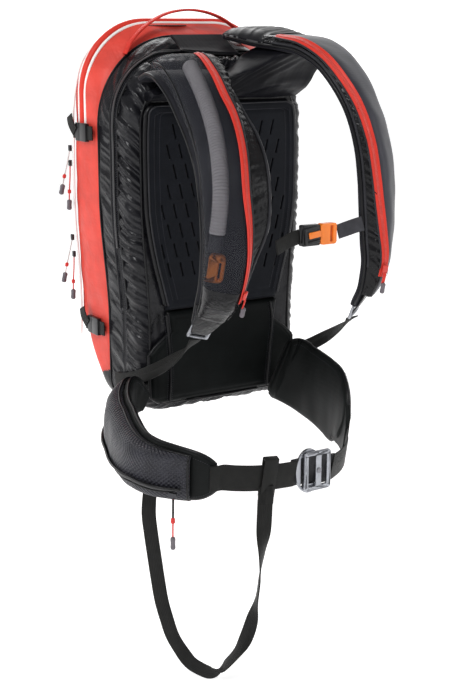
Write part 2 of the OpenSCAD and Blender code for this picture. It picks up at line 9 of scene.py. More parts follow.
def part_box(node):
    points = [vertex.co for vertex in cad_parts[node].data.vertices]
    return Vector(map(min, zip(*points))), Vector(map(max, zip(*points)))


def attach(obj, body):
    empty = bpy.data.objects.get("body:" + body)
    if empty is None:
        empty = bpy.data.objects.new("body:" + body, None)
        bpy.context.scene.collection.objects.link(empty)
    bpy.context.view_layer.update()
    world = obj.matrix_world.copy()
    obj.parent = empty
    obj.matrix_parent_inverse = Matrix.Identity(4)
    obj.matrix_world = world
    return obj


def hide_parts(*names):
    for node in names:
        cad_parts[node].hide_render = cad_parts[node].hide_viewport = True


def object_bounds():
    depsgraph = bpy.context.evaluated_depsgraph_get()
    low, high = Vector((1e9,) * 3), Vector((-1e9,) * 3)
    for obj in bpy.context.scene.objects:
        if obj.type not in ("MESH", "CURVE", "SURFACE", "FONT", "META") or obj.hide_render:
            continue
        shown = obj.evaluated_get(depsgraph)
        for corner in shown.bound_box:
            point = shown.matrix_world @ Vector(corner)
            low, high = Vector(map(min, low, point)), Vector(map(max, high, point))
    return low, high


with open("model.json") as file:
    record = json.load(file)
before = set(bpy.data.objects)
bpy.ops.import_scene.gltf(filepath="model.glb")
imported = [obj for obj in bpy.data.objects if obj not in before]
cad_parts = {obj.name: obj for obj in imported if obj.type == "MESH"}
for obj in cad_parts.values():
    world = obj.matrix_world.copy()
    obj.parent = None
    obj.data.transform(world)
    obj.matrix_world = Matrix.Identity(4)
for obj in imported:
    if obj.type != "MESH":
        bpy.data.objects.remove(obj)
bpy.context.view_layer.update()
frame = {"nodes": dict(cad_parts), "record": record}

MM = 0.001
NODES = frame["nodes"]

# ---------------------------------------------------------------- camera and light
scene = bpy.context.scene
camera = bpy.data.objects.new("camera", bpy.data.cameras.new("camera"))
scene.collection.objects.link(camera)
camera.location = (-0.973, -1.569, 0.463)
camera.rotation_euler = Vector((0.5142, 0.8229, -0.2419)).to_track_quat("-Z", "Y").to_euler()
camera.data.lens = 67.07
camera.data.clip_start = 0.05
scene.camera = camera
scene.view_settings.view_transform = "Standard"
MIDDLE = Vector((0, 0, 0.15))


def area_light(name, place, size, power):
    light = bpy.data.objects.new(name, bpy.data.lights.new(name, "AREA"))
    light.data.size = size
    light.data.energy = power
    light.location = place
    light.rotation_euler = (MIDDLE - Vector(place)).to_track_quat("-Z", "Y").to_euler()
    scene.collection.objects.link(light)


area_light("key_light", (-2.0, -1.5, 2.3), 0.9, 54)
area_light("fill_light", (1.9, -2.1, 0.9), 1.6, 15)
area_light("back_light", (0.6, 2.2, 1.9), 1.4, 24)
area_light("side_light", (-2.6, 0.9, 0.9), 1.0, 16)
world = bpy.data.worlds.new("studio")
world.use_nodes = True
world.node_tree.nodes["Background"].inputs["Color"].default_value = (1, 1, 1, 1)
world.node_tree.nodes["Background"].inputs["Strength"].default_value = 0.30
scene.world = world


# ---------------------------------------------------------------- materials
def new_material(name, base, rough, metal=0.0, sheen=0.0, alpha=1.0, specular=0.5):
    material = bpy.data.materials.new(name)
    material.use_nodes = True
    shader = material.node_tree.nodes["Principled BSDF"]
    shader.inputs["Base Color"].default_value = (*base, 1)
    shader.inputs["Roughness"].default_value = rough
    shader.inputs["Metallic"].default_value = metal
    shader.inputs["Sheen Weight"].default_value = sheen
    shader.inputs["Sheen Roughness"].default_value = 0.4
    shader.inputs["Alpha"].default_value = alpha
    shader.inputs["Specular IOR Level"].default_value = specular
    return material, material.node_tree, shader


def link(tree, a, out, b, into):
    tree.links.new(a.outputs[out], b.inputs[into])


def node(tree, kind, **inputs):
    made = tree.nodes.new(kind)
    for key, value in inputs.items():
        made.inputs[key.replace("_", " ")].default_value = value
    return made


def coordinates(tree, texture, scale=(1, 1, 1), uv=False, turn=0.0):
    """Feeds a texture from the object's own coordinates, or from the cloth's run and width."""
    mapping = node(tree, "ShaderNodeMapping", Scale=scale, Rotation=(0, 0, turn))
    if uv:
        source = tree.nodes.new("ShaderNodeUVMap")
        source.uv_map = "weave"
        link(tree, source, "UV", mapping, "Vector")
    else:
        link(tree, tree.nodes.new("ShaderNodeTexCoord"), "Object", mapping, "Vector")
    link(tree, mapping, "Vector", texture, "Vector")
    return texture


def cloud(tree, size, detail, stretch=(1, 1, 1), **more):
    return coordinates(tree, node(tree, "ShaderNodeTexNoise", Scale=size, Detail=detail, **more), stretch)


def wave(tree, size, axis="X", uv=False, turn=0.0):
    texture = node(tree, "ShaderNodeTexWave", Scale=size)
    texture.bands_direction = axis
    return coordinates(tree, texture, uv=uv, turn=turn)


def vary(tree, shader, base, spread, size):
    """Slow changes of the base colour between two shades."""
    ramp = tree.nodes.new("ShaderNodeValToRGB")
    for end, factor, place in ((0, 1 - spread, 0.3), (1, 1 + spread, 0.7)):
        ramp.color_ramp.elements[end].position = place
        ramp.color_ramp.elements[end].color = (*[min(1, c * factor) for c in base], 1)
    link(tree, cloud(tree, size, 4.0), "Fac", ramp, "Fac")
    link(tree, ramp, "Color", shader, "Base Color")


def relief(tree, shader, *layers):
    """Bumps one over the other; a layer is (texture, strength, height in mm)."""
    last = None
    for texture, strength, height in layers:
        bump = node(tree, "ShaderNodeBump", Strength=strength, Distance=height * MM)
        link(tree, texture, "Fac", bump, "Height")
        if last:
            link(tree, last, "Normal", bump, "Normal")
        last = bump
    link(tree, last, "Normal", shader, "Normal")


def fabric(name, base, rough=0.55, sheen=0.3, spread=0.18, weave=900, crease=60, depth=0.6, alpha=1.0,
           specular=0.35):
    """Woven cloth with creases; a larger crease number gives finer ones, and depth is in mm."""
    material, tree, shader = new_material(name, base, rough, sheen=sheen, alpha=alpha, specular=specular)
    vary(tree, shader, base, spread, 35)
    threads = [(wave(tree, weave / 20, axis), 0.25, 0.15) for axis in ("X", "Z")]
    relief(tree, shader, (cloud(tree, crease, 5.0, Distortion=0.6), 0.8, depth), *threads)
    return material


def ripstop(name, base, cell=3.2):
    """Coated cloth with a raised diamond grid of cells in mm."""
    material, tree, shader = new_material(name, base, 0.42, sheen=0.03, specular=0.28)
    vary(tree, shader, base, 0.25, 60)
    pitch = 0.31 / (cell * MM)
    diamonds = [(wave(tree, pitch, uv=True, turn=angle), 0.9, 0.7) for angle in (0.785, -0.785)]
    threads = (wave(tree, pitch, uv=True), 0.1, 0.1)
    relief(tree, shader, (cloud(tree, 45.0, 4.0), 0.7, 0.8), *diamonds, threads)
    return material


def webbing(name, base, rough=0.6, ribs=4):
    """Woven tape: ribs along its length and a fine cross weave, on the tape's own coordinates."""
    material, tree, shader = new_material(name, base, rough, specular=0.16)
    vary(tree, shader, base, 0.2, 90)
    along, across = wave(tree, ribs * 55, "Y", uv=True), wave(tree, 190, uv=True)
    relief(tree, shader, (along, 0.6, 0.4), (across, 0.4, 0.2))
    return material


def zip_coil(name, base):
    """A zip's teeth across the tape's middle."""
    material, tree, shader = new_material(name, base, 0.45, sheen=0.05)
    vary(tree, shader, base, 0.12, 120)
    relief(tree, shader, (wave(tree, 150, uv=True), 0.8, 0.5), (wave(tree, 60, "Y", uv=True), 0.4, 0.4))
    return material


def plastic(name, base, rough=0.35, specular=0.5):
    material, tree, shader = new_material(name, base, rough, specular=specular)
    vary(tree, shader, base, 0.08, 50)
    relief(tree, shader, (cloud(tree, 900, 2.0), 0.15, 0.2))
    return material


def metal(name, base, rough):
    """Metal brushed across its height."""
    material, tree, shader = new_material(name, base, rough, metal=1.0)
    vary(tree, shader, base, 0.1, 160)
    brushed = cloud(tree, 260.0, 3.0, stretch=(1, 1, 14))
    spread = node(tree, "ShaderNodeMapRange", To_Min=rough * 0.7, To_Max=rough * 1.6)
    link(tree, brushed, "Fac", spread, "Value")
    link(tree, spread, "Result", shader, "Roughness")
    relief(tree, shader, (brushed, 0.12, 0.15))
    return material


def glowing(name, strength):
    """Matt white that also gives light, for the studio's floor and backdrop."""
    material, _, shader = new_material(name, (0.9, 0.9, 0.9), 0.9)
    shader.inputs["Emission Color"].default_value = (1, 1, 1, 1)
    shader.inputs["Emission Strength"].default_value = strength
    return material


BLACK = fabric("black_nylon", (0.008, 0.008, 0.010), 0.27, 0.0, 0.3, crease=60, depth=1.6, specular=0.24)
CHARCOAL = fabric("charcoal_knit", (0.012, 0.012, 0.016), 0.55, 0.04, 0.15, 1400, 40, specular=0.12)
PAD_CLOTH = fabric("pad_knit", (0.008, 0.009, 0.012), 0.55, 0.03, 0.15, 1600, 30, 0.5, specular=0.08)
LUMBAR = fabric("lumbar_cloth", (0.004, 0.005, 0.005), 0.5, 0.0, 0.2, crease=22, depth=0.7, specular=0.08)
WING = fabric("wing_cloth", (0.006, 0.007, 0.007), 0.5, 0.02, 0.2, crease=26, depth=0.6, specular=0.1)
SATIN = fabric("satin_lining", (0.006, 0.006, 0.008), 0.36, 0.0, 0.3, crease=20, depth=1.2, specular=0.08)
RUFFLE = fabric("ruffled_nylon", (0.006, 0.006, 0.007), 0.27, 0.0, 0.3, crease=110, depth=1.8, specular=0.22)
FLAP = fabric("flap_nylon", (0.010, 0.010, 0.012), 0.5, 0.0, 0.2, crease=50, depth=0.6, specular=0.07)
RED = fabric("red_nylon", (0.66, 0.058, 0.040), 0.46, 0.04, 0.12, 1100, 34, 2.6, specular=0.3)
RED_TAPE = fabric("red_zip_tape", (0.64, 0.040, 0.026), 0.42, 0.04, 0.06, 1500, 30, 0.2, specular=0.2)
RED_MESH = fabric("red_mesh", (0.45, 0.03, 0.02), 0.7, 0.1, 0.3, 500)
GREY_PIPING = fabric("grey_piping", (0.024, 0.024, 0.028), 0.45, 0.03, 0.2, 900, 200, 0.2, specular=0.2)
WHITE = fabric("white_piping", (0.86, 0.85, 0.83), 0.45, 0.1, 0.06, 900, 90, 0.2)
PIPING = fabric("black_piping", (0.006, 0.006, 0.007), 0.34, 0.0, 0.2, 900, 200, 0.2, specular=0.25)
THREAD = fabric("thread", (0.035, 0.035, 0.042), 0.6, 0.0, 0.1, specular=0.1)
POCKET = fabric("pocket_mesh", (0.022, 0.023, 0.030), 0.5, 0.06, 0.12, 2200, 35, alpha=0.36, specular=0.2)
POCKET_BACKED = fabric("pocket_mesh_left", (0.034, 0.034, 0.044), 0.45, 0.1, 0.12, 2200, 35, specular=0.3)
RED_CORD = fabric("red_cord", (0.60, 0.030, 0.025), 0.5, 0.05, 0.15, 900, 900, 0.2)
WHITE_CORD = fabric("white_cord", (0.62, 0.61, 0.60), 0.5, 0.05, 0.15, 900, 900, 0.2)
RED_WEB = webbing("red_webbing", (0.62, 0.040, 0.028), 0.5, 3)
BLACK_WEB = webbing("black_webbing", (0.009, 0.009, 0.0085), 0.5)
GREY_WEB = webbing("grey_webbing", (0.040, 0.040, 0.046), 0.6)
BELT_FOLD = webbing("belt_fold", (0.030, 0.030, 0.033), 0.5)
RIPSTOP = ripstop("ripstop", (0.020, 0.020, 0.027), 4.2)
AIRBAG = ripstop("airbag_cloth", (0.62, 0.09, 0.04))
COIL = zip_coil("black_coil", (0.008, 0.008, 0.010))
RED_COIL = zip_coil("red_coil", (0.55, 0.035, 0.022))
ALUMINIUM = metal("aluminium", (0.36, 0.37, 0.40), 0.32)
STEEL = metal("steel", (0.22, 0.22, 0.24), 0.34)
DARK_METAL = metal("dark_slider", (0.06, 0.06, 0.065), 0.35)
ACETAL = plastic("black_acetal", (0.008, 0.008, 0.009), 0.28, 0.35)
ORANGE = plastic("orange_acetal", (0.80, 0.19, 0.015), 0.3)
HANDLE = plastic("orange_grip", (0.95, 0.26, 0.015), 0.4)
HOSE_RUBBER = plastic("hose", (0.74, 0.71, 0.75), 0.45)
SLEEVE = plastic("sleeve", (0.040, 0.040, 0.050), 0.5)
UNIT = plastic("unit_case", (0.05, 0.054, 0.06), 0.5)
GREEN = plastic("green_button", (0.08, 0.42, 0.17))
LIGHT_PLASTIC = plastic("light_plastic", (0.70, 0.70, 0.72), 0.45)
RED_PLASTIC = plastic("red_plastic", (0.55, 0.035, 0.025), 0.4)
TOGGLE = plastic("grey_toggle", (0.11, 0.095, 0.11))
FLOOR = glowing("pale_floor", 0.55)
BACKDROP = glowing("pale_backdrop", 0.75)


# ---------------------------------------------------------------- curves and meshes
def mm(points):
    return np.array(points, float) * MM


def unit(v):
    return v / np.maximum(np.linalg.norm(v, axis=-1, keepdims=True), 1e-12)


def at(points, u):
    """A smooth curve through given points, at a fraction of its length in points."""
    p = np.asarray(points, float)
    x = min(max(u, 0), 1) * (len(p) - 1)
    i = min(int(x), len(p) - 2)
    t = x - i
    a, b, c, d = p[max(i - 1, 0)], p[i], p[i + 1], p[min(i + 2, len(p) - 1)]
    return 0.5 * (2 * b + (c - a) * t + (2 * a - 5 * b + 4 * c - d) * t**2 + (3 * b - a - 3 * c + d) * t**3)


def smooth_run(points, n):
    return np.array([at(points, k / (n - 1)) for k in range(n)])


def turned(angles, side=1, lift=None):
    """Directions in the XY plane at angles in degrees, mirrored for side -1, with an optional Z part."""
    a = np.radians(angles)
    return np.stack([np.cos(a), side * np.sin(a), 0 * a if lift is None else lift], -1)


def run_length(line):
    return np.r_[0, np.cumsum(np.linalg.norm(np.diff(line, axis=0), axis=1))]


def hump(x, middle, width):
    return np.exp(-((x - middle) / width) ** 2)


def strap_frame(route, ups):
    """Across, outward and along directions at each point of a sampled route."""
    t = unit(np.gradient(route, axis=0))
    s = unit(ups - np.sum(ups * t, axis=1, keepdims=True) * t)
    return s, np.cross(t, s), t


def closed_normals(points):
    """Outward normals of a closed sheet of points."""
    along = np.gradient(points, axis=0)
    n = unit(np.cross(along, np.roll(points, -1, axis=1) - np.roll(points, 1, axis=1)))
    return n * np.sign(np.sum(n * (points - points.mean(axis=(0, 1)))) or 1)


def fold_noise(points, scale, seed=0.0):
    """Smooth noise from -1 to 1 at points in metres, with wavelengths given in mm per axis."""
    q = (points / mm(scale)).reshape(-1, 3) + [seed, -seed, 2 * seed]
    return np.array([noise.noise(Vector(x)) for x in q]).reshape(points.shape[:-1])


def finish_piece(obj, material, body, nodes=()):
    obj.data.materials.append(material)
    if body:
        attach(obj, body)
    if nodes:
        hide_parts(*nodes)
    return obj


def soften(obj):
    obj.data.polygons.foreach_set("use_smooth", [True] * len(obj.data.polygons))


def bake_modifiers(obj):
    bpy.context.view_layer.update()
    done = bpy.data.meshes.new_from_object(obj.evaluated_get(bpy.context.evaluated_depsgraph_get()))
    obj.modifiers.clear()
    obj.data = done


def new_object(name, mesh):
    obj = bpy.data.objects.new(name, mesh)
    scene.collection.objects.link(obj)
    return obj


def make(name, verts, faces, material, body="pack", slot=None, nodes=(), uv=None, flip=False, second=None):
    """A mesh piece; second is another material and a test of face centres in mm that take it."""
    mesh = bpy.data.meshes.new(name)
    mesh.from_pydata([tuple(v) for v in verts], [], [tuple(f[::-1]) if flip else tuple(f) for f in faces])
    mesh.update()
    if uv is not None:
        loops = np.array([loop.vertex_index for loop in mesh.loops])
        mesh.uv_layers.new(name="weave").data.foreach_set("uv", np.asarray(uv, np.float32)[loops].ravel())
    obj = new_object(name, mesh)
    soften(obj)
    finish_piece(obj, material, body, nodes)
    if second:
        mesh.materials.append(second[0])
        centres = np.array([p.center[:] for p in mesh.polygons]) / MM
        mesh.polygons.foreach_set("material_index", second[1](centres).astype(int))
    return obj


def grid(name, points, material, body="pack", closed=False, caps=False, **more):
    """A sheet through an n by m array of points; closed joins the last column to the first."""
    n, m = points.shape[:2]
    k = np.arange(n * m).reshape(n, m)
    right = np.roll(k, -1, axis=1)
    columns = range(m if closed else m - 1)
    faces = [(k[i, j], right[i, j], right[i + 1, j], k[i + 1, j]) for i in range(n - 1) for j in columns]
    if caps:
        faces += [tuple(k[0, ::-1]), tuple(k[-1])]
    along, across = run_length(points.mean(axis=1)), run_length(points.mean(axis=0))
    uv = np.stack(np.broadcast_arrays(along[:, None], across[None, :]), -1).reshape(-1, 2)
    return make(name, points.reshape(-1, 3), faces, material, body, uv=uv, **more)


def solid(name, points, material, body="pack", **more):
    return grid(name, points, material, body, closed=True, caps=True, flip=True, **more)


def band(w, t):
    """Section of flat webbing with rounded edges, w by t mm."""
    a = np.linspace(-np.pi / 2, np.pi / 2, 5)
    r = t / 2
    right = np.stack([w / 2 - r + r * np.cos(a), r * np.sin(a)], 1)
    return np.concatenate([right, [[0, r]], -right, [[0, -r]]]) * MM


def sweep(name, route, ups, sections, material, body="pack", **more):
    """Sections are one m by 2 array for all, or one per route point."""
    s, o, _ = strap_frame(route, ups)
    sections = np.broadcast_to(sections, (len(route),) + np.shape(sections)[-2:])
    points = route[:, None] + s[:, None] * sections[..., :1] + o[:, None] * sections[..., 1:]
    return solid(name, points, material, body, **more)


def ribbon(name, route, ups, size, steps, material, body="pack", **more):
    """Webbing of a size (width, thickness) along a route in mm; ups is one direction or one per point."""
    line = smooth_run(mm(route), steps)
    line_ups = smooth_run(np.broadcast_to(ups, (len(route), 3)), steps)
    return sweep(name, line, line_ups, band(*size), material, body, **more)


def tube(name, points, radius, material, body="pack", sides=8, **more):
    """A round cord along points in metres; radius in mm is one number or one for each point."""
    t = unit(np.gradient(points, axis=0))
    s = unit(np.cross(t, np.tile([0.31, 0.17, 0.93], (len(points), 1))))
    a = np.arange(sides) * 2 * np.pi / sides
    ring = s[:, None] * np.cos(a)[:, None] + np.cross(t, s)[:, None] * np.sin(a)[:, None]
    radii = np.broadcast_to(np.asarray(radius) * MM, (len(points),))
    return solid(name, points[:, None] + radii[:, None, None] * ring, material, body, **more)


STITCH_PITCH = 3.2 * MM
STITCH_LENGTH = 2.0 * MM


def stitches(name, path, normals, body="pack", thick=0.5, material=THREAD):
    """A row of sewn stitches lying on a surface, with one normal for all or one for each point."""
    run = run_length(path)
    where = np.arange(STITCH_PITCH / 2, run[-1], STITCH_PITCH)

    def along(values, places):
        return np.stack([np.interp(places, run, values[:, k]) for k in range(3)], 1)
    out = unit(along(np.broadcast_to(normals, path.shape), where))
    ahead = unit(along(path, where + 1e-4) - along(path, where - 1e-4))
    verts, faces = [], []
    for c, a, o, s in zip(along(path, where), ahead, out, np.cross(ahead, out) * thick * MM):
        k = len(verts)
        for x, w in ((-0.5, 0.4), (-0.2, 1), (0.2, 1), (0.5, 0.4)):
            middle = c + a * x * STITCH_LENGTH
            verts += [middle + s * w, middle + o * w * thick * MM, middle - s * w]
        faces += [(k + 3 * i + j, k + 3 * i + j + 1, k + 3 * i + j + 4, k + 3 * i + j + 3)
                  for i in range(3) for j in range(2)]
    return make(name, verts, faces, material, body)


def bevelled(source, name, material, width, segments=3):
    """A copy of a CAD node's solid with its edges rounded to width mm, which stands for the node."""
    body = next(b for b, members in frame["record"]["behaviour"]["bodies"].items() if source in members)
    obj = new_object(name, NODES[source].data.copy())
    obj.data.materials.clear()
    obj.modifiers.new("weld", "WELD").merge_threshold = 1e-5
    edge = obj.modifiers.new("edge", "BEVEL")
    edge.width, edge.segments, edge.harden_normals = width * MM, segments, False
    edge.limit_method, edge.angle_limit = "ANGLE", math.radians(35)
    bake_modifiers(obj)
    soften(obj)
    return finish_piece(obj, material, body, [source])


def rounded_box(name, size, centre, axes, edge, material, body, **more):
    """A box of size mm with rounded edges, its sides along the three axes."""
    signs = np.array([[a, b, c] for a in (-1, 1) for b in (-1, 1) for c in (-1, 1)])
    verts = np.asarray(centre) + (signs * mm(size) / 2) @ np.array(axes)
    faces = [(0, 1, 3, 2), (4, 6, 7, 5), (0, 4, 5, 1), (2, 3, 7, 6), (0, 2, 6, 4), (1, 5, 7, 3)]
    obj = make(name, verts, faces, material, body, **more)
    bevel = obj.modifiers.new("edge", "BEVEL")
    bevel.width, bevel.segments = edge * MM, 3
    bake_modifiers(obj)
    soften(obj)
    return obj


def toggle(name, start, end, radius, body):
    """A turned grip: waisted in the middle with rounded ends."""
    k = np.linspace(0, 1, 25)
    profile = np.sqrt(np.clip(1 - np.abs(2 * k - 1) ** 6, 0.02, 1)) * (1 - 0.14 * np.sin(k * np.pi) ** 2)
    return tube(name, start * (1 - k)[:, None] + end * k[:, None], radius * profile, TOGGLE, body, 16)


def paint(material, *names):
    for name in names:
        mesh = NODES[name].data
        mesh.materials.clear()
        mesh.materials.append(material)


# ---------------------------------------------------------------- leg strap, the one long free strap
LEG = [[-209, -150, -112], [-211, -151, -137], [-214, -152, -170], [-212, -154, -200],
       [-209, -157, -233], [-206, -159, -261], [-202, -162, -295], [-197, -167, -322], [-191, -172, -347],
       [-182, -180, -368], [-175, -192, -382], [-167, -205, -388], [-160, -218, -389], [-151, -232, -380],
       [-145, -244, -366], [-136, -252, -350], [-128, -259, -330], [-122, -264, -305], [-117, -268, -275],
       [-114, -271, -240], [-112, -273, -205], [-111, -275, -170], [-110, -276, -132.5]]
LEG_TURN = [-90, -56] + [-42] * 8 + [-46, -52, -62, -95, -105, -95, -66, -72, -116, -122, -150, -205, -213]
LEG_LIFT = [0] * 10 + [0.3, 0.8, 1.6, 0.5] + [0] * 9
ADJUST_WEB = (20, 1.8)
leg_path = smooth_run(mm(LEG), 150)
leg_strap = sweep("leg_strap_webbing", leg_path, smooth_run(turned(LEG_TURN, lift=LEG_LIFT), 150),
                  band(*ADJUST_WEB), BLACK_WEB, "hip_right", nodes=["leg_strap"], slot="black_webbing")


# ---------------------------------------------------------------- pack body
def taper(z):
    """The bag's width narrows towards its base."""
    t = np.clip((220 - z) / 180, 0, 1)
    return 1 - 0.075 * t * t * (3 - 2 * t)


def corner(x, z, r, start, n):
    a = np.radians(start + np.linspace(0, 90, n))
    return np.stack([x + r * np.cos(a), z + r * np.sin(a)], 1)


def body_ring(v, fine=1.0):
    """One outline of the bag: half width, top, base, corner radii, depth at the top and at the base."""
    w, high, low, r_top, r_low, y_top, y_low = v
    small, large = max(4, round(30 * fine)), max(4, round(60 * fine))
    parts = [corner(w - r_low, low + r_low, r_low, -90, small),
             corner(w - r_top, high - r_top, r_top, 0, large),
             corner(r_top - w, high - r_top, r_top, 90, large),
             corner(r_low - w, low + r_low, r_low, 180, small)]
    out = []
    # points along the right wall, the top, the left wall and the base
    for k, n in enumerate((200, 80, 200, 120)):
        a, b = parts[k][-1], parts[(k + 1) % 4][0]
        t = np.linspace(0, 1, round(n * fine) + 2)[1:-1, None]
        out += [parts[k], a + (b - a) * t]
    x, z = np.concatenate(out).T
    return np.stack([x * taper(z), y_low + (y_top - y_low) * (z - low) / (high - low), z], 1)


REAR = [[128, 402, -76, 80, 35, 12, 12], [143, 413, -86, 86, 38, 24, 24], [150, 422, -90, 90, 40, 52, 52],
        [153, 435, -90, 108, 40, 72, 72], [154, 447, -90, 124, 40, 93.5, 93.5]]
FRONT = [[60, 340, 110, 40, 40, 176, 213], [120, 410, 30, 80, 55, 171, 209],
         [143, 438, 4, 90, 60, 167, 201], [153, 454, -18, 95, 60, 160, 187],
         [157, 464, -42, 98, 60, 146, 160], [158, 467, -66, 100, 50, 130, 136],
         [157, 458, -86, 110, 42, 112, 112], [154, 447, -90, 124, 40, 93.6, 93.6]]


def shell_points(rings, places, fine=1.0):
    return np.array([body_ring(at(rings, v / (len(rings) - 1)), fine) for v in places]) * MM


def ring_line(rings, v, lift=1.0, above=None, between=(-999, 999), fine=0.35):
    """The bag's outline at ring v, lifted off the cloth; above and between keep a stretch of it."""
    ring = shell_points(rings, (v - 0.05, v, v + 0.05), fine)
    line = ring[1] + closed_normals(ring)[1] * lift * MM
    if above is None:
        return np.concatenate([line, line[:2]])
    use = (line[:, 2] > above * MM) & (line[:, 0] > between[0] * MM) & (line[:, 0] < between[1] * MM)
    first = next(k for k in range(len(use)) if use[k] and not use[k - 1])
    return np.roll(line, -first, axis=0)[:use.sum()]


def crumple(points, v, gather, gather_depth, general):
    """Moves a shell's points along its normals: fine folds across the gathered band, soft folds elsewhere."""
    s = run_length(points[len(points) // 2])[None, :] * np.ones((len(v), 1))
    depth = (v[:, None] * 30 * MM) * np.ones_like(s)
    bend = 9 * MM * fold_noise(np.stack([s, depth, 0 * s], -1), (70, 50, 1), 6.0)
    q = np.stack([s + 0.5 * depth + bend, depth, 0 * s], -1)
    fine = np.abs(fold_noise(q, (16, 160, 1), 3.0)) * 1.5 + 0.45 * np.abs(fold_noise(q, (8, 90, 1), 9.0))
    fine = (1.1 - 2.6 * fine) * np.where(points[..., 0] > 0.06, 0.45, 1.0)
    soft = fold_noise(points, (70, 40, 60), 5.0) + 0.5 * fold_noise(points, (38, 26, 30), 8.0)
    moved = gather[:, None] * gather_depth * fine + (1 - 0.6 * gather[:, None]) * general * soft
    return points + closed_normals(points) * moved[..., None] * MM


BACK_WALL_Y = 12
v_rear = np.linspace(0, 4, 64)
rear = shell_points(REAR, v_rear)
gather = (np.clip((1.95 - v_rear) / 0.2, 0, 1) * np.clip((v_rear - 0.05) / 0.2, 0, 1)
          + 0.45 * np.clip((v_rear - 2.1) / 0.3, 0, 1) * np.clip((3.9 - v_rear) / 0.5, 0, 1))
tuck = 2.0 * MM * hump(v_rear, 1.0, 0.75) - 1.5 * MM * hump(v_rear, 2.0, 0.12)
rear = crumple(rear, v_rear, gather, 2.4, 1.6) + closed_normals(rear) * tuck[:, None, None]
wall = mm([[0, BACK_WALL_Y, 160]])
inner = np.array([wall + (rear[0] - wall) * k for k in np.linspace(0.002, 0.985, 18)])
inner[..., 1] = (BACK_WALL_Y + fold_noise(inner, (60, 60, 14), 2.0) * np.linspace(0, 1, 18)[:, None]) * MM
grid("rear_shell_cloth", np.concatenate([inner, rear]), BLACK, closed=True, flip=True, nodes=["rear_shell"],
     slot="black_fabric")

v_front = np.linspace(0, 7, 84)
front = shell_points(FRONT, v_front, 0.6)
waist = 1.6 * MM * hump(v_front, 3.6, 0.1) + 1.2 * MM * hump(v_front, 6.85, 0.15)
front = crumple(front, v_front, 0 * v_front, 0, 1.8) - closed_normals(front) * waist[:, None, None]
panel = front[0].mean(axis=0)[None]
reach = np.linspace(0.002, 0.98, 24)
cover = np.array([panel + (front[0] - panel) * k for k in reach])
cover[..., 1] += 3.5 * MM * (1 - reach[:, None] ** 2)
cover[..., 1] += 1.0 * MM * fold_noise(cover, (70, 70, 40), 4.0)
grid("front_shell_cloth", np.concatenate([cover, front]), RED, closed=True, nodes=["front_shell"],
     slot="red_fabric", second=(BLACK, lambda p: p[:, 2] < -38 - 0.35 * (p[:, 1] - 94)))

for name, rings, v, lift, above, radius, material in (
        ("seam_piping", REAR, 3.97, 0.4, None, 1.3, PIPING),
        ("gusset_piping_outer", REAR, 2.35, 0.7, 60, 1.5, PIPING),
        ("gusset_piping_inner", REAR, 1.72, 0.7, 60, 1.5, PIPING),
        ("back_wall_piping", REAR, 0.12, 0.8, None, 1.9, PIPING),
        ("front_edge_piping", FRONT, 2.0, 0.7, None, 1.5, RED_TAPE),
        ("front_panel_zip_piping", FRONT, 1.05, 0.8, 90, 1.6, COIL),
        ("trim_inner", FRONT, 5.33, 0.2, 318, 2.2, WHITE),
        ("trim_outer", FRONT, 4.3, 0.6, 318, 2.2, WHITE)):
    tube(name, ring_line(rings, v, lift, above), radius, material)
tube("top_band", ring_line(FRONT, 4.85, -0.6, 300), 5.2, RED_TAPE, sides=14)
lens = smooth_run(ring_line(FRONT, 5.75, 0.9, 400, (-62, 8)), 40)
sweep("top_opening", lens, np.tile([0.0, 1, 0], (40, 1)),
      np.array([band(1.5 + 7.5 * math.sin(math.pi * k / 39), 1.4) for k in range(40)]), BLACK)
for k, v in enumerate((2.18, 2.27, 1.87, 1.79)):
    ring = ring_line(REAR, v, 1.3, -20, fine=1.0)
    stitches(f"main_zip_seam_{k}", ring, closed_normals(np.stack([ring, ring + [0, 0.001, 0]]))[0])

FRONT_HALF = [[145.6, 186.5, 0], [146, 182.5, 60], [150, 179, 120], [155.4, 175.5, 180], [157.4, 172, 240],
              [157.4, 169, 300], [157.2, 166, 350], [144, 163, 409], [107.5, 161, 445.5], [58, 160.5, 458.5]]
FRONT_UPS = [[0.38, 0.92, 0]] * 7 + [[0.3, 0.9, -0.25], [0.2, 0.9, -0.35], [0, 0.9, -0.4]]


def both_sides(half):
    """A route up one side and down the other, from its half on the wearer's left."""
    return [[-x, y, z] for x, y, z in half] + half[::-1]


front_line = smooth_run(mm(both_sides(FRONT_HALF)), 160)
front_ups = smooth_run(FRONT_UPS + [[-x, y, z] for x, y, z in FRONT_UPS[::-1]], 160)
front_s = strap_frame(front_line, front_ups)[0]
sweep("front_zip_tape", front_line, front_ups, band(7, 1.4), RED_TAPE, nodes=["front_zip"],
      slot="white_zip_tape")
tube("front_trim_left", front_line - front_s * 4.2 * MM, 1.7, WHITE)
tube("front_trim_right", front_line + front_s * 4.2 * MM, 1.7, WHITE)

ZIP_HALF = [[148.6, 52, 152], [151, 52, 186], [152.2, 52, 230], [152.2, 52, 290], [152.2, 52, 333],
            [145, 52, 368.5], [124.9, 52, 398.8], [95.4, 52, 418.6], [60, 52, 425.8]]
ribbon("main_zip_coil", both_sides(ZIP_HALF), [0, 1, 0], (6, 1.6), 150, COIL, nodes=["main_zip"],
       slot="black_zip_tape")
bevelled("main_zip_slider", "main_zip_slider_metal", DARK_METAL, 0.5)

# ---------------------------------------------------------------- back pad with slits
PAD_Z = [62, 90, 130, 170, 210, 300, 345, 358]
PAD_HALF = [95, 101, 111, 119, 124, 125, 122, 112]
PAD_COLUMNS = 90


def pad_half(z):
    return at(PAD_HALF, float(np.interp(z, PAD_Z, np.linspace(0, 1, len(PAD_Z)))))


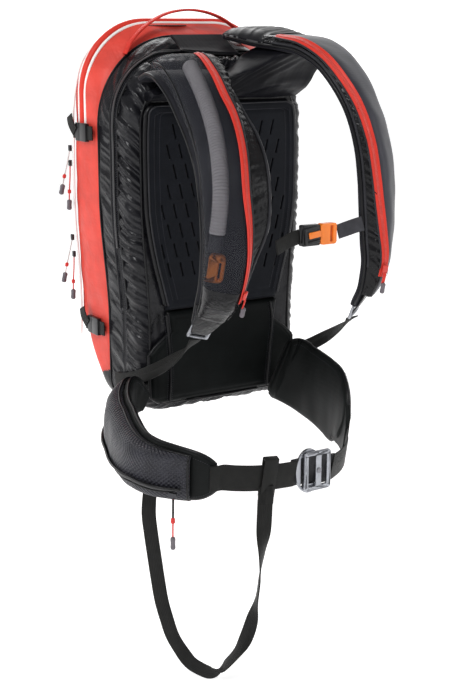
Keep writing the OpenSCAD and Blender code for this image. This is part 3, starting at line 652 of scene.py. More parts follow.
def pad_solid(name, rows, half, face, back, height, material, nodes, slot):
    """A closed pad between a shaped face and a flat back; height gives the face's depth under its rim."""
    points = []
    for z in rows:
        w = half(z)
        x = w * np.sin(np.linspace(-1, 1, PAD_COLUMNS) * np.pi / 2)
        edge = np.minimum(w - np.abs(x), min(z - rows[0], rows[-1] - z))
        points.append(np.concatenate([np.stack([x, face + height(edge, x, z), x * 0 + z], 1),
                                      np.stack([x[::-1], x * 0 + back, x * 0 + z], 1)]))
    return solid(name, mm(points), material, nodes=nodes, slot=slot)


def pad_height(edge, x, z):
    rim = 8.0 * np.exp(-np.maximum(edge, 0) / 2.2)
    groove = 1.7 * hump(edge, 15, 2.2)
    crown = -0.6 * np.clip(edge / 60, 0, 1)
    return rim + groove + crown + 0.35 + 0.25 * np.sin(x / 17) * np.sin(z / 23)


SLIT_W, SLIT_H, SLIT_LEAN = 3.2, 22, 14
SLIT_ROWS = (2, 3, 2, 3, 4, 3, 4, 3)
SLITS = [(side * (72 + 19.5 * (column - (n - 1) / 2)), 318 - 28 * row, math.radians(-SLIT_LEAN * side))
         for row, n in enumerate(SLIT_ROWS) for side in (-1, 1) for column in range(n)]


def slit_cutter(y, depth):
    """Slim slanted blocks, joined in one mesh, that cut the slits."""
    verts, faces = [], []
    turns = [math.radians(k) for k in (-150, -90, -30, 30, 90, 150)]
    ring = [(SLIT_W / 2 * math.cos(a), (SLIT_H - SLIT_W) / 2 * math.copysign(1, a) + SLIT_W / 2 * math.sin(a))
            for a in turns]
    n = len(ring)
    for x, z, lean in SLITS:
        c, s = math.cos(lean), math.sin(lean)
        k = len(verts)
        for level in (y, y + depth):
            verts += [((x + u * c - t * s) * MM, level * MM, (z + u * s + t * c) * MM) for u, t in ring]
        faces += [tuple(k + j for j in range(n)), tuple(k + n + j for j in reversed(range(n)))]
        faces += [(k + j, k + n + j, k + n + (j + 1) % n, k + (j + 1) % n) for j in range(n)]
    mesh = bpy.data.meshes.new("slit_knife")
    mesh.from_pydata(verts, [], faces)
    return new_object("slit_knife", mesh)


back_pad = pad_solid("back_pad_foam", np.linspace(62, 358, 130), pad_half, 1.0, 11.0, pad_height, PAD_CLOTH,
                     ["back_pad"], "pad_foam")
knife = slit_cutter(-8, 30)
cut = back_pad.modifiers.new("slits", "BOOLEAN")
cut.object, cut.operation, cut.solver = knife, "DIFFERENCE", "EXACT"
bake_modifiers(back_pad)
bpy.data.objects.remove(knife)
lining = mm([[[x, 11.2, z] for x in np.linspace(-90, 90, 12)] for z in np.linspace(72, 345, 14)])
grid("pad_mesh_lining", lining, RED_MESH, nodes=["pad_mesh"], slot="red_mesh")


def pad_rim(inset, y, low=70, high=350):
    """A line round the back pad's sides and top."""
    left = np.array([[-(pad_half(z) - inset), y, z] for z in np.linspace(low, high, 60)])
    reach = pad_half(high) - inset - 8
    top = np.array([[x, y, high + 3.5] for x in np.linspace(-reach, reach, 20)])
    return np.concatenate([left, top, (left * [-1, 1, 1])[::-1]]) * MM


tube("pad_binding", pad_rim(-0.5, 7.0), 3.4, PIPING)
tube("pad_seam", pad_rim(2.2, 2.6), 1.3, GREY_PIPING)
# two rows of stitches inside the pad's rim
for k, inset in enumerate((10.5, 19.0)):
    stitches(f"pad_border_{k}", pad_rim(inset, 0.9, 78, 341), [0, -1.0, 0])

# ---------------------------------------------------------------- lumbar pad
LUMBAR_SHAPE = np.array([[-76, 62], [-74, 110], [-64, 124], [0, 126], [14, 112], [30, 90], [61, 94]], float)


def lumbar_half(z):
    return float(np.interp(z, LUMBAR_SHAPE[:, 0], LUMBAR_SHAPE[:, 1]))


def lumbar_height(edge, x, z):
    rim = 9.0 * np.exp(-np.maximum(edge, 0) / 3.5)
    welt = 0.9 * hump(edge, 9, 1.6) + 1.0 * hump(x + 88 + 0.25 * z, 0, 3) * (z < 30)
    return rim + 0.2 + welt + 0.4 * np.sin(x / 31 + z / 22)


pad_solid("lumbar_cloth", np.linspace(-76, 61, 90), lumbar_half, 0.0, 12.0, lumbar_height, LUMBAR,
                    ["lumbar_pad"], "lumbar_fabric")
for name, side in (("lumbar_binding", 1), ("lumbar_binding_right", -1)):
    tube(name, mm([[side * (lumbar_half(z) - 1), 6.5, z] for z in np.linspace(60, -74, 40)]), 2.2, PIPING)
tube("lumbar_binding_low", mm([[-62, 6.5, -76.5], [0, 6.0, -77], [62, 6.5, -76.5]]), 2.2, PIPING)
for k, run in enumerate(([[-99, -0.4, 58], [-95, -0.6, 20], [-93, -0.6, -30], [-95, -0.4, -72]],
                         [[80, -0.4, 58], [84, -0.6, 30], [80, -0.6, -10], [74, -0.4, -72]])):
    line = smooth_run(mm(run), 60)
    tube(f"lumbar_seam_{k}", line, 1.8, PIPING)
    for j, side in enumerate((-1, 1)):
        stitches(f"lumbar_stitch_{k}{j}", line + [side * 4 * MM, 0, 0], [0, -1.0, 0], thick=0.4)

# ---------------------------------------------------------------- yoke
YOKE_X = [-122, -90, -40, 10, 50, 90, 122]
YOKE_TOP = [372, 380, 384, 400, 428, 429, 426]
YOKE_REACH = [18, 18, 20, 34, 77, 79, 77]
YOKE_FOOT = 362
yoke_rows = []
for u in np.linspace(0, 1, 110):
    x, h, y = at(YOKE_X, u), at(YOKE_TOP, u), -at(YOKE_REACH, u)
    rise = h - YOKE_FOOT
    ring = [[11.6, YOKE_FOOT], [11.6, YOKE_FOOT + rise / 2], [11.6, h], [0.5 * y + 6, h + 1.5], [y, h - 3]]
    ring += [[a * y, YOKE_FOOT + rise * b] for a, b in ((0.83, 0.74), (0.62, 0.52), (0.4, 0.26))]
    ring += [[-4, YOKE_FOOT], ring[0]]
    q = np.array([at(ring, k / 60) for k in range(60)])
    yoke_rows.append(np.stack([q[:, 0] * 0 + x, q[:, 0], q[:, 1]], 1))
yoke = mm(yoke_rows)
aside, rise = yoke[..., 0] + 0.02, yoke[..., 2] - 0.355
fan = np.stack([np.arctan2(rise, aside) * 0.09, np.hypot(aside, rise), yoke[..., 1]], -1)
pull = 2.4 * (0.4 - 1.6 * np.abs(fold_noise(fan, (13, 90, 120), 1.0)))
pull = pull + 0.8 * fold_noise(yoke, (12, 30, 30), 6.0)
yoke = yoke + closed_normals(yoke) * pull[..., None] * MM
grid("yoke_cloth", yoke, SATIN, closed=True, caps=True, nodes=["yoke_pad"],
               slot="black_fabric")

# ---------------------------------------------------------------- top
FLAP_HALF = 43 * MM
flap_line = smooth_run(mm([[-5, 30, 425], [-2, 44, 430], [0, 60, 438], [0, 78, 448]]), 40)
s, o, t = strap_frame(flap_line, np.tile([1.0, 0, 0], (40, 1)))
across, run = np.linspace(-1, 1, 60), np.linspace(0, 1, 40)
ribs = 0.7 * MM * np.abs(np.sin(run * 22))[:, None] * (run < 0.42)[:, None]
height = (1 - across ** 4)[None, :] * 2.4 * MM + ribs * (np.abs(across) < 0.86)[None, :]
face = flap_line[:, None] + s[:, None] * across[None, :, None] * FLAP_HALF + o[:, None] * height[..., None]
back = flap_line[:, None] + s[:, None] * across[None, ::-1, None] * FLAP_HALF - o[:, None] * 1.2 * MM
solid("control_flap_cloth", np.concatenate([face, back], 1), FLAP, nodes=["control_flap"], slot="flap_fabric")
for k, side in enumerate((-1, 1)):
    tube(f"flap_piping_{k}", flap_line + s * side * FLAP_HALF + o * 0.5 * MM, 1.5, PIPING)
tube("flap_piping_low", face[0] - t[0] * 0.5 * MM, 1.4, PIPING)

HAUL = [[-111, 90, 422.5], [-99, 90, 442], [-76, 90, 462], [-46, 90, 477], [-15, 90, 483],
        [14, 90, 482], [42, 90, 475], [66, 90, 463], [82, 90, 450], [92, 90, 436]]
haul_line = smooth_run(mm(HAUL), 120)
haul_up = np.tile([0.0, 1, 0], (120, 1))
sweep("haul_loop_webbing", haul_line, haul_up, band(11.5, 3.0), RED_WEB, "haul", nodes=["haul_loop"],
      slot="red_webbing")
s, o, t = strap_frame(haul_line, haul_up)
for k, side in enumerate((-1, 1)):
    stitches(f"haul_seam_{k}", haul_line + s * side * 4.0 * MM + o * 1.5 * MM, o, "haul", 0.35, RED_TAPE)

# ---------------------------------------------------------------- shoulder straps
STRAP_T = 12 * MM
POCKET_N = (6 + 0.4) * MM
POCKET_SKIN = 1.2 * MM
RIGHT = [[-78, 10, 392], [-80, -12, 397], [-84, -42, 391], [-88, -78, 370], [-94, -112, 342],
         [-100, -142, 314], [-106, -168, 282], [-110, -183, 246], [-111, -188, 210], [-110, -183, 172],
         [-110, -170, 132], [-111, -148, 98], [-112, -126, 70]]
RIGHT_TURN = [0, 0, 6, 14, 22, 28, 32, 35, 35, 35, 32, 28, 24]
RIGHT_W = [104, 102, 98, 90, 82, 76, 73, 72, 71, 68, 60, 48, 34]
RIGHT_H = [2, 14, 29, 31, 32, 32, 32, 32, 31, 31, 28, 16, 5]
RIGHT_GUSSET = [0, 0, 0, 2, 8, 16, 20, 20, 16, 4, 0, 0, 0]
RIGHT_ZIP = [88, 88, 86, 82, 74, 58, 51, 48, 36, 27, 27, 30, 30]
LEFT = [[76, 56, 446], [78, 20, 442], [82, -20, 436], [86, -60, 432], [90, -95, 426], [95, -128, 408],
        [100, -155, 378], [104, -173, 345], [108, -184, 305], [110, -188, 265], [110, -189, 225],
        [110, -190, 185], [110, -194, 150], [110, -190, 115], [111, -176, 88]]
LEFT_TURN = [0, 0, 4, 10, 16, 22, 27, 32, 35, 38, 42, 45, 45, 40, 34]
LEFT_W = [94, 96, 94, 90, 84, 80, 76, 73, 72, 72, 71, 68, 62, 50, 36]
LEFT_H = [2, 5, 8, 10, 12, 15, 19, 23, 27, 30, 32, 31, 26, 16, 6]
LEFT_ZIP = [120, 125, 135, 145, 152, 158, 161, 161, 161, 161, 158, 150, 140, 136, 136]


def round_end(v):
    return np.sign(v) * np.abs(v) ** 0.55


class Strap:
    """A shoulder strap or belt wing: its route and sizes in metres, sampled at fractions of its run."""

    def __init__(self, route, ups, widths, heights=(0, 0), gusset=(0, 0), zip_at=(0, 0)):
        self.route, self.ups = mm(route), np.array(ups, float)
        self.widths, self.heights, self.gusset, self.zip_at = mm(widths), mm(heights), mm(gusset), zip_at

    def frame(self, us):
        p = np.array([at(self.route, u) for u in us])
        t = unit(np.array([at(self.route, u + 0.01) - at(self.route, u - 0.01) for u in us]))
        up = np.array([at(self.ups, u) for u in us])
        s = unit(up - np.sum(up * t, axis=1, keepdims=True) * t)
        return p, s, np.cross(t, s), t

    def sizes(self, us):
        """Width, height of the pocket on it, and gusset width."""
        return (np.array([at(a, u) for u in us]) for a in (self.widths, self.heights, self.gusset))

    def zip_angles(self, us):
        return np.array([at(self.zip_at, u) for u in us])

    def surface(self, us, x, n):
        """Points at x across and n outward, each a number, an array of the length of us or one row per u."""
        p, s, o, _ = self.frame(us)
        if np.ndim(x) < 2:
            return p + s * (x * np.ones(len(p)))[:, None] + o * (n * np.ones(len(p)))[:, None]
        return p[:, None] + s[:, None] * x[..., None] + o[:, None] * np.asarray(n)[..., None]

    def foot(self, us, side):
        """How far across the edge of its padding lies."""
        w, _, g = self.sizes(us)
        return side * (w / 2 - 1.0 * MM) + (g if side > 0 else 0)


def closed_turn(n):
    return (np.arange(n) + 0.5) * 2 * np.pi / n


def strap_pad(strap, tag):
    us = np.linspace(0, 1, 120)
    w, _, g = strap.sizes(us)
    a = closed_turn(44)
    x = (w + g)[:, None] / 2 * round_end(np.cos(a)) + g[:, None] / 2
    pts = strap.surface(us, x, np.ones((120, 1)) * STRAP_T / 2 * round_end(np.sin(a)))
    pts = pts + closed_normals(pts) * (0.7 * MM * fold_noise(pts, (40, 40, 26), 7.0))[..., None]
    solid(f"shoulder_pad_{tag}_foam", pts, CHARCOAL, nodes=[f"shoulder_pad_{tag}"],
                    slot="strap_fabric")
    for k, side in enumerate((-1, 1)):
        edge = side * (w / 2 - 0.6 * MM) + (g if side > 0 else 0)
        line = strap.surface(us[3:-2], edge[3:-2], 1.0 * MM)
        tube(f"shoulder_pad_{tag}_foam_binding_{k}", line, 2.0, PIPING)


def strap_pocket(strap, name, start, end, material, node_name, slot, **more):
    us = np.linspace(start, end, 110)
    w, h, _ = strap.sizes(us)
    a = np.radians(np.linspace(0, 180, 36))

    def arch(width, height):
        return strap.surface(us, width[:, None] / 2 * round_end(np.cos(a)),
                             POCKET_N + height[:, None] * round_end(np.sin(a)))

    outer = arch(0.88 * w, h)
    normal = unit(outer - strap.surface(us, 0, POCKET_N)[:, None])
    soft = fold_noise(outer, (50, 50, 30), 3.0) * 1.5 * MM + fold_noise(outer, (16, 16, 22), 5.0) * 0.5 * MM
    bulge = normal * (soft * np.sin(a) ** 0.5)[..., None]
    inner = arch(0.88 * w - 2 * POCKET_SKIN, h - POCKET_SKIN)
    pts = np.concatenate([outer + bulge, (inner + bulge)[:, ::-1]], 1)
    solid(name, pts, material, nodes=[node_name], slot=slot, **more)


def over_pocket(strap, us, share, lift=0.0):
    """Points over the pocket's arch, share from -1 to 1 across it."""
    w, h, _ = strap.sizes(us)
    c = np.sign(share) * np.abs(share) ** (1 / 0.55)
    up = round_end(np.sqrt(np.clip(1 - c ** 2, 0, 1)))
    return strap.surface(us, 0.44 * w * share, POCKET_N + h * up + lift)


def on_arch(strap, us, angles, lift=0.0):
    """Points of the pocket's arch at angles in degrees, and its directions across and outward; lift in mm."""
    w, h, _ = strap.sizes(us)

    def place(a):
        return strap.surface(us, 0.44 * w * round_end(np.cos(a)), POCKET_N + h * round_end(np.sin(a)))
    a = np.radians(angles)
    here, edge = place(a), unit(place(a - 0.05) - place(a + 0.05))
    out = unit(np.cross(unit(np.gradient(here, axis=0)), edge))
    return here + out * lift * MM, edge, out


def strap_zip(strap, tag, start, end):
    us = np.linspace(start, end, 130)
    line, edge, out = on_arch(strap, us, strap.zip_angles(us), 1.2)
    name = f"strap_zip_{tag}_tape"
    sweep(name, line, edge, band(11.5, 1.3), RED_TAPE, nodes=[f"strap_zip_{tag}"], slot="red_zip_tape")
    sweep(name + "_coil", line + out * 0.8 * MM, edge, band(4.0, 1.6), RED_COIL)
    for k, side in enumerate((-1, 1)):
        seam = line + edge * side * 4.6 * MM + out * 0.7 * MM
        stitches(f"{name}_seam_{k}", seam, out, thick=0.3, material=RED_WEB)


def flank(strap, tag, side, start, end, gathers, deep):
    """Gathered cloth over the pocket's side, from the zip down to the pad's edge."""
    us = np.linspace(start, end, 300)
    a_zip = strap.zip_angles(us)
    low = 2.0 if side > 0 else 178.0
    rows = [on_arch(strap, us, a_zip + (low - a_zip) * k, 0.9)[0] for k in np.linspace(0, 0.82, 22)]
    foot = strap.surface(us, strap.foot(us, side), 4.5 * MM)
    pts = np.stack(rows + [rows[-1] * (1 - k) + foot * k for k in np.linspace(0, 1, 14)[1:]], 1)
    k = np.linspace(0, 1, pts.shape[1])[None, :]
    run = run_length(strap.frame(us)[0])[:, None] * np.ones(pts.shape[:2])
    q = np.stack([run + 0.5 * k * 40 * MM, k * 34 * MM * np.ones_like(run), 0 * run], -1)
    fold = 0.7 - 2.2 * np.abs(fold_noise(q, (gathers, 60, 1), 4.0))
    fold = fold + 0.6 * fold_noise(q, (gathers / 2, 20, 1), 7.0)
    fade = np.sin(np.clip(k, 0.0, 0.97) * np.pi) * np.clip((k - 0.1) / 0.1, 0, 1)
    away = unit(pts - strap.surface(us, 0, 8 * MM)[:, None])
    grid(f"strap_flank_{tag}", pts + away * (fold * fade * deep * MM)[..., None], RUFFLE)


def zip_pull(strap, tag, u):
    us = np.array([u - 0.02, u, u + 0.02])
    line, edge, _ = on_arch(strap, us, strap.zip_angles(us), 1.6)
    t = unit(line[2] - line[0])
    s = unit(edge[1] - (edge[1] @ t) * t)
    o = np.cross(t, s)
    base = line[1] + o * 1 * MM
    name, body = f"strap_zip_pull_{tag}", f"strap_slider_{tag[0]}"
    rounded_box(name + "_block", (8, 3.6, 11), base + o * 2.2 * MM, (s, o, t), 1.1, RED_PLASTIC, body,
                nodes=[f"strap_slider_{tag}"], slot="red_slider")
    tape = np.array([base + (o * (3.4 + 0.5 * math.sin(k * 3)) + t * (4.5 + 16 * k)) * MM
                     for k in np.linspace(0, 1, 14)])
    sweep(name + "_tape", tape, np.tile(s, (14, 1)), band(5, 1.6), RED_WEB, body)
    toggle(name + "_grip", base + (o * 5.0 + t * 19) * MM, base + (o * 5.8 + t * 34.5) * MM, 3.5, body)


def strap_trim(strap, tag, side, start, end):
    """Piping along the zip and along the foot of the gathered flank."""
    us = np.linspace(start, end, 140)
    line, edge, _ = on_arch(strap, us, strap.zip_angles(us), 1.6)
    tube(f"strap_zip_piping_{tag}", line + edge * side * 6.8 * MM, 1.3, GREY_PIPING)
    tube(f"strap_flank_piping_{tag}", strap.surface(us, strap.foot(us, side), 5.5 * MM), 1.8, GREY_PIPING)


def strap_end(strap, tag, start):
    """A sewn tab that narrows to the buckle, a bar-tacked seam across the pocket, and the buckle."""
    us = np.linspace(start, 1, 30)
    p, s, o, t = strap.frame(us)
    run = np.linspace(0, 1, 30)
    high = POCKET_N + 1.5 * MM
    line = p + o * (high * (1 - run ** 2) + 1.0 * MM)[:, None] + t * (run ** 2 * 17 * MM)[:, None]
    sweep(f"strap_tab_{tag}", line, s, np.array([band(52 - 27 * k, 2.6) for k in run]), RUFFLE)
    seam_at = [start - 0.03]
    seam = np.array([over_pocket(strap, seam_at, share, 1.0 * MM)[0] for share in np.linspace(-0.8, 0.8, 40)])
    out = unit(seam - strap.surface(seam_at, 0, 0)[0])
    for j in range(2):
        stitches(f"strap_end_seam_{tag}_{j}", seam + t[0] * j * 4 * MM, out, thick=0.6)
    bevelled(f"strap_buckle_{tag}", f"strap_buckle_{tag}_metal", ALUMINIUM, 0.9)


right = Strap(RIGHT, turned(RIGHT_TURN, -1), RIGHT_W, RIGHT_H, RIGHT_GUSSET, RIGHT_ZIP)
left = Strap(LEFT, turned(LEFT_TURN), LEFT_W, LEFT_H, zip_at=LEFT_ZIP)
POCKET_END = right.frame([0.80])[0][0] / MM
strap_pocket(right, "trigger_pocket_mesh", 0.10, 0.93, POCKET, "trigger_pocket", "pocket_mesh",
             second=(RUFFLE, lambda q: (q - POCKET_END) @ [0.05, 0.47, -0.88] > 4))
strap_pocket(left, "strap_pocket_left_mesh", 0.12, 0.94, POCKET_BACKED, "strap_pocket_left",
             "pocket_mesh_left")
tube("trigger_pocket_piping", over_pocket(right, np.linspace(0.12, 0.92, 120), -0.985), 1.2, PIPING)
for tag, strap, side, zip_run, flank_run, gathers, deep, slider_at, tab_at in (
        ("right", right, 1, (0.16, 0.84), (0.15, 0.92), 9, 1.8, 0.82, 0.90),
        ("left", left, -1, (0.20, 0.89), (0.16, 0.94), 10, 1.5, 0.87, 0.92)):
    strap_pad(strap, tag)
    strap_zip(strap, tag, *zip_run)
    flank(strap, tag, side, *flank_run, gathers, deep)
    zip_pull(strap, tag, slider_at)
    strap_trim(strap, tag, side, zip_run[0], slider_at)
    strap_end(strap, tag, tab_at)

# the gathered cloth over the left strap's root
us = np.linspace(0.0, 0.17, 70)
p, s, o, t = left.frame(us)
half = list(left.sizes(us))[0][:, None] / 2
x = np.linspace(-1, 1, 60)
root_h = (9 + 7 * np.sin(us / 0.17 * np.pi * 0.8))[:, None] * MM
high = 3 * MM + root_h * (1 - np.abs(x) ** 5)
x = (half + 0.5 * MM) * x
mound = left.surface(us, x, high)
q = np.stack([run_length(p)[:, None] + 0.35 * x, 0.4 * x, 0 * x], -1)
gathers = (0.6 - 2.0 * np.abs(fold_noise(q, (13, 60, 1), 2.0))) * (1 - np.abs(x / half) ** 4)
mound = mound + o[:, None] * (1.1 * MM * gathers)[..., None]
under = left.surface(us, x[:, ::-1], 3 * MM + 0 * x)
solid("left_root_cloth", np.concatenate([mound, under], 1), SATIN)

# ---------------------------------------------------------------- trigger hose, sleeve and handle
HOSE_ROUTE = [[-84, -48, 407], [-90, -70, 396], [-96, -101, 374], [-103, -132, 347],
              [-111, -159, 319], [-119, -180, 288], [-126, -194, 258], [-131, -199, 230], [-134, -198, 205]]
HOSE_RIB = 4.2 * MM
hose_line = smooth_run(mm(HOSE_ROUTE), 420)
tube("trigger_hose_rings", hose_line, 10.3 + 0.7 * np.cos(run_length(hose_line) * 2 * np.pi / HOSE_RIB),
     HOSE_RUBBER, sides=24, nodes=["trigger_hose"], slot="hose_rubber")
sleeve = smooth_run(mm([[-134, -197, 203.2], [-134, -195, 194], [-134, -191, 185]]), 24)
tube("trigger_sleeve_rubber", sleeve, 9.0 - 0.5 * (np.arange(24) % 6 < 1), SLEEVE, sides=20,
     nodes=["trigger_sleeve"], slot="sleeve_rubber")
bevelled("trigger_handle", "trigger_handle_grip", HANDLE, 2.6, 4)

# ---------------------------------------------------------------- adjusting and chest webbing
WEB_TURN = [[1, 0, 0], [0.8, 0, 0.6], [0.4, 0, 0.9], [0.1, 0.2, 1], [0, 0.3, 1], [0, 0.2, 1], [0, 0.1, 1]]
WEB_RIGHT = [[-113, -107, 46], [-117, -90, 29], [-123, -60, 8], [-131, -25, -13], [-139, 15, -32],
             [-144, 50, -43], [-145, 74, -47]]
WEB_LEFT = [[112, -162, 61], [115, -145, 48], [122, -105, 26], [131, -61, 5], [139, -19, -14],
            [145, 26, -33], [145, 74, -47]]
CHEST_RIGHT = [[-60, -223, 184], [-48, -219, 187], [-32, -213, 190.5], [-15.5, -210, 193.5]]
CHEST_LEFT = [[47, -210, 194.5], [56, -212, 197], [70, -218, 202], [80, -222, 205]]
for node_name, route, ups, steps, material, body, slot in (
        ("strap_webbing_right", WEB_RIGHT, WEB_TURN, 90, BLACK_WEB, "pack", "black_webbing"),
        ("strap_webbing_left", WEB_LEFT, WEB_TURN, 90, BLACK_WEB, "pack", "black_webbing"),
        ("chest_webbing_right", CHEST_RIGHT, [0, 0, 1], 40, BLACK_WEB, "chest", "black_webbing"),
        ("chest_webbing_left", CHEST_LEFT, [0, 0, 1], 40, GREY_WEB, "chest", "grey_webbing")):
    ribbon(node_name + "_weave", route, ups, ADJUST_WEB, steps, material, body, nodes=[node_name], slot=slot)
bevelled("chest_buckle_female", "chest_buckle_socket", ACETAL, 1.6)
bevelled("chest_buckle_male", "chest_buckle_tongue", ORANGE, 1.2)

box_low, box_high = (np.array(v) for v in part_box("chest_buckle_female"))
along, front_dir = unit(np.array([1, 0, 0.12])), np.array([0, -1.0, 0])
tall = unit(np.cross(front_dir, along))
buckle_axes = (along, front_dir, tall * np.sign(tall[2]))
middle = (box_low + box_high) / 2
middle[1] = box_low[1]
for name, size, place, edge, material in (
        ("chest_tongue_window", (19, 2.2, 8.5), (5, 0.7, 0), 0.9, ORANGE),
        ("chest_socket_rib_0", (24, 2.6, 4.2), (0, 0.8, -9.4), 1.0, ACETAL),
        ("chest_socket_rib_1", (24, 2.6, 4.2), (0, 0.8, 9.4), 1.0, ACETAL),
        ("chest_socket_bar", (4.5, 3.0, 22), (-10, 0.9, 0), 1.0, ACETAL)):
    rounded_box(name, size, middle + mm(place) @ np.array(buckle_axes), buckle_axes, edge, material, "chest")

# ---------------------------------------------------------------- hip belt
BELT_UP = [0, -0.2, 1]
BELT_WEB = (38, 1.8)
WING_T = 14 * MM
RIGHT_WING = [[-134, 3, -66], [-146, 3, -62], [-160, -1, -60], [-180, -26, -68], [-194, -56, -74],
              [-203, -86, -79], [-212, -114, -84], [-219, -142, -88], [-222, -166, -91], [-218, -190, -93],
              [-206, -213, -95], [-188, -236, -97], [-168, -252, -98]]
RIGHT_WING_W = [30, 50, 72, 75, 75, 75, 76, 76, 76, 75, 73, 66, 48]
LEFT_WING = [[84, -20, -40], [98, -22, -45], [108, -34, -51], [113, -52, -58], [114, -80, -64],
             [112, -108, -70], [107, -134, -76], [100, -155, -84], [91, -175, -98]]
LEFT_WING_W = [84, 104, 112, 113, 114, 116, 116, 98, 56]
wing_r = Strap(RIGHT_WING, [BELT_UP] * 2, RIGHT_WING_W)
wing_l = Strap(LEFT_WING, [BELT_UP] * 2, LEFT_WING_W)


def wing(strap, tag, creases):
    us = np.linspace(0, 1, 120)
    w = list(strap.sizes(us))[0] * np.sqrt(1 - 0.55 * np.clip((us - 0.93) / 0.07, 0, 1) ** 2)
    a = closed_turn(60)
    pts = strap.surface(us, w[:, None] / 2 * round_end(np.cos(a)),
                        np.ones((120, 1)) * WING_T / 2 * round_end(np.sin(a)))
    soft = creases * MM * fold_noise(pts, (30, 22, 70), 2.0) * np.abs(np.sin(a))
    pts = pts + closed_normals(pts) * soft[..., None]
    name, body = f"hip_wing_{tag}_foam", f"hip_{tag}"
    solid(name, pts, WING, body, nodes=[f"hip_wing_{tag}"], slot="wing_fabric")
    out = strap.frame(us)[2]
    for k, side in enumerate((-1, 1)):
        rim = strap.surface(us[4:-1], side * (w[4:-1] / 2 - 0.4 * MM), 0)
        tube(f"{name}_binding_{k}", rim, 2.4, PIPING, body)
        for j, face in enumerate((-1, 1)):
            line = strap.surface(us[6:-2], side * (w[6:-2] / 2 - 6 * MM), face * (WING_T / 2 - 0.2 * MM))
            stitches(f"{name}_seam_{k}{j}", line, face * out[6:-2], body, 0.4)


wing(wing_r, "right", 0.8)
wing(wing_l, "left", 1.3)
POCKET_DEPTH = 26 * MM
BULGE = [0.2, 0.7, 0.95, 1, 1, 1, 0.95, 0.75, 0.3]


def pocket_arch(us, angles, lift=0.0, skin=0.0):
    """Points on the hip pocket's cloth at angles in degrees, 0 at its upper edge; lift and skin in mm."""
    w = list(wing_r.sizes(us))[0][:, None]
    bulge = np.array([at(BULGE, k) for k in np.clip((us - 0.13) / 0.77, 0, 1)])[:, None]
    a = np.radians(angles)
    x = (0.45 * w - skin * MM) * round_end(np.cos(a))
    high = POCKET_DEPTH * bulge + (lift - skin) * MM
    return wing_r.surface(us, x, WING_T / 2 + 0.4 * MM + high * round_end(np.sin(a)))


us = np.linspace(0.13, 0.9, 120)
angles = np.linspace(0, 180, 60)
outer = pocket_arch(us, angles)
normal = unit(outer - wing_r.surface(us, 0, WING_T / 2)[:, None])
soft = (1.0 * fold_noise(outer, (40, 30, 30), 6.0) + 0.5 * fold_noise(outer, (16, 14, 24), 2.0)) * MM
outer = outer + normal * (soft * np.sin(np.radians(angles)) ** 0.5)[..., None]
lining = pocket_arch(us, angles[::-1], skin=1.2)
solid("hip_pocket_ripstop", np.concatenate([outer, lining], 1), RIPSTOP, "hip_right", nodes=["hip_pocket"],
      slot="ripstop_fabric")
zip_us = np.linspace(0.2, 0.875, 110)
zip_a = np.interp(zip_us, [0.2, 0.45, 0.61, 0.7, 0.875], [140, 128, 108, 100, 103])[:, None]
zip_line = pocket_arch(zip_us, zip_a, 1.0)[:, 0]
zip_out = unit(zip_line - wing_r.surface(zip_us, 0, WING_T / 2))
zip_side = np.cross(unit(np.gradient(zip_line, axis=0)), zip_out)
sweep("hip_zip_tape", zip_line, zip_side, band(9, 1.2), PIPING, "hip_right")
sweep("hip_zip_coil", zip_line + zip_out * 0.8 * MM, zip_side, band(4, 1.6), COIL, "hip_right")
for k, side in enumerate((-1, 1)):
    edge = zip_line + zip_side * side * 5 * MM + zip_out * 0.8 * MM
    tube(f"hip_zip_piping_{k}", edge, 1.6, PIPING, "hip_right")
for k, angle in enumerate((3, 177)):
    tube(f"hip_pocket_piping_{k}", pocket_arch(us, [angle], 1.0)[:, 0], 1.7, PIPING, "hip_right")
front_edge = pocket_arch(np.array([0.895]), np.linspace(4, 176, 40), 0.8)[0]
tube("hip_pocket_front_piping", front_edge, 1.6, PIPING, "hip_right")

BELT_RIGHT = [[-181, -255.5, -97.5], [-172, -257.8, -97.2], [-163, -258.5, -97], [-150, -265, -98.5],
              [-128, -273, -100.5], [-102, -278.5, -102], [-80, -281, -102.5], [-66.5, -281, -103]]
BELT_LEFT = [[84, -192, -106], [69, -209, -105.5], [56, -227, -105], [42, -245, -104.5], [22, -264, -104],
             [2, -278, -103.5], [-11.5, -286, -103]]
for side, route, steps in (("right", BELT_RIGHT, 80), ("left", BELT_LEFT, 90)):
    ribbon(f"belt_webbing_{side}_weave", route, BELT_UP, BELT_WEB, steps, BLACK_WEB, f"hip_{side}",
           nodes=[f"belt_webbing_{side}"], slot="black_webbing")
bevelled("leg_strap_loop", "leg_strap_eye", BLACK_WEB, 1.2)
LEG_JOINT = [[-110, -276.5, -113], [-110, -277.5, -124], [-110, -276.5, -137]]
ribbon("leg_strap_joint", LEG_JOINT, [-0.85, 0.53, 0], (20.5, 4), 20, BLACK_WEB, "hip_right")
tip_line = smooth_run(mm([[100, -154, -84], [93, -171, -93], [85, -187, -102], [76, -200, -105]]), 40)
tip_bands = np.array([band(96 - 57 * k, 9 * (1 - 0.4 * k)) for k in np.linspace(0, 1, 40)])
sweep("left_wing_tip", tip_line, np.tile(BELT_UP, (40, 1)), tip_bands, WING, "hip_left")
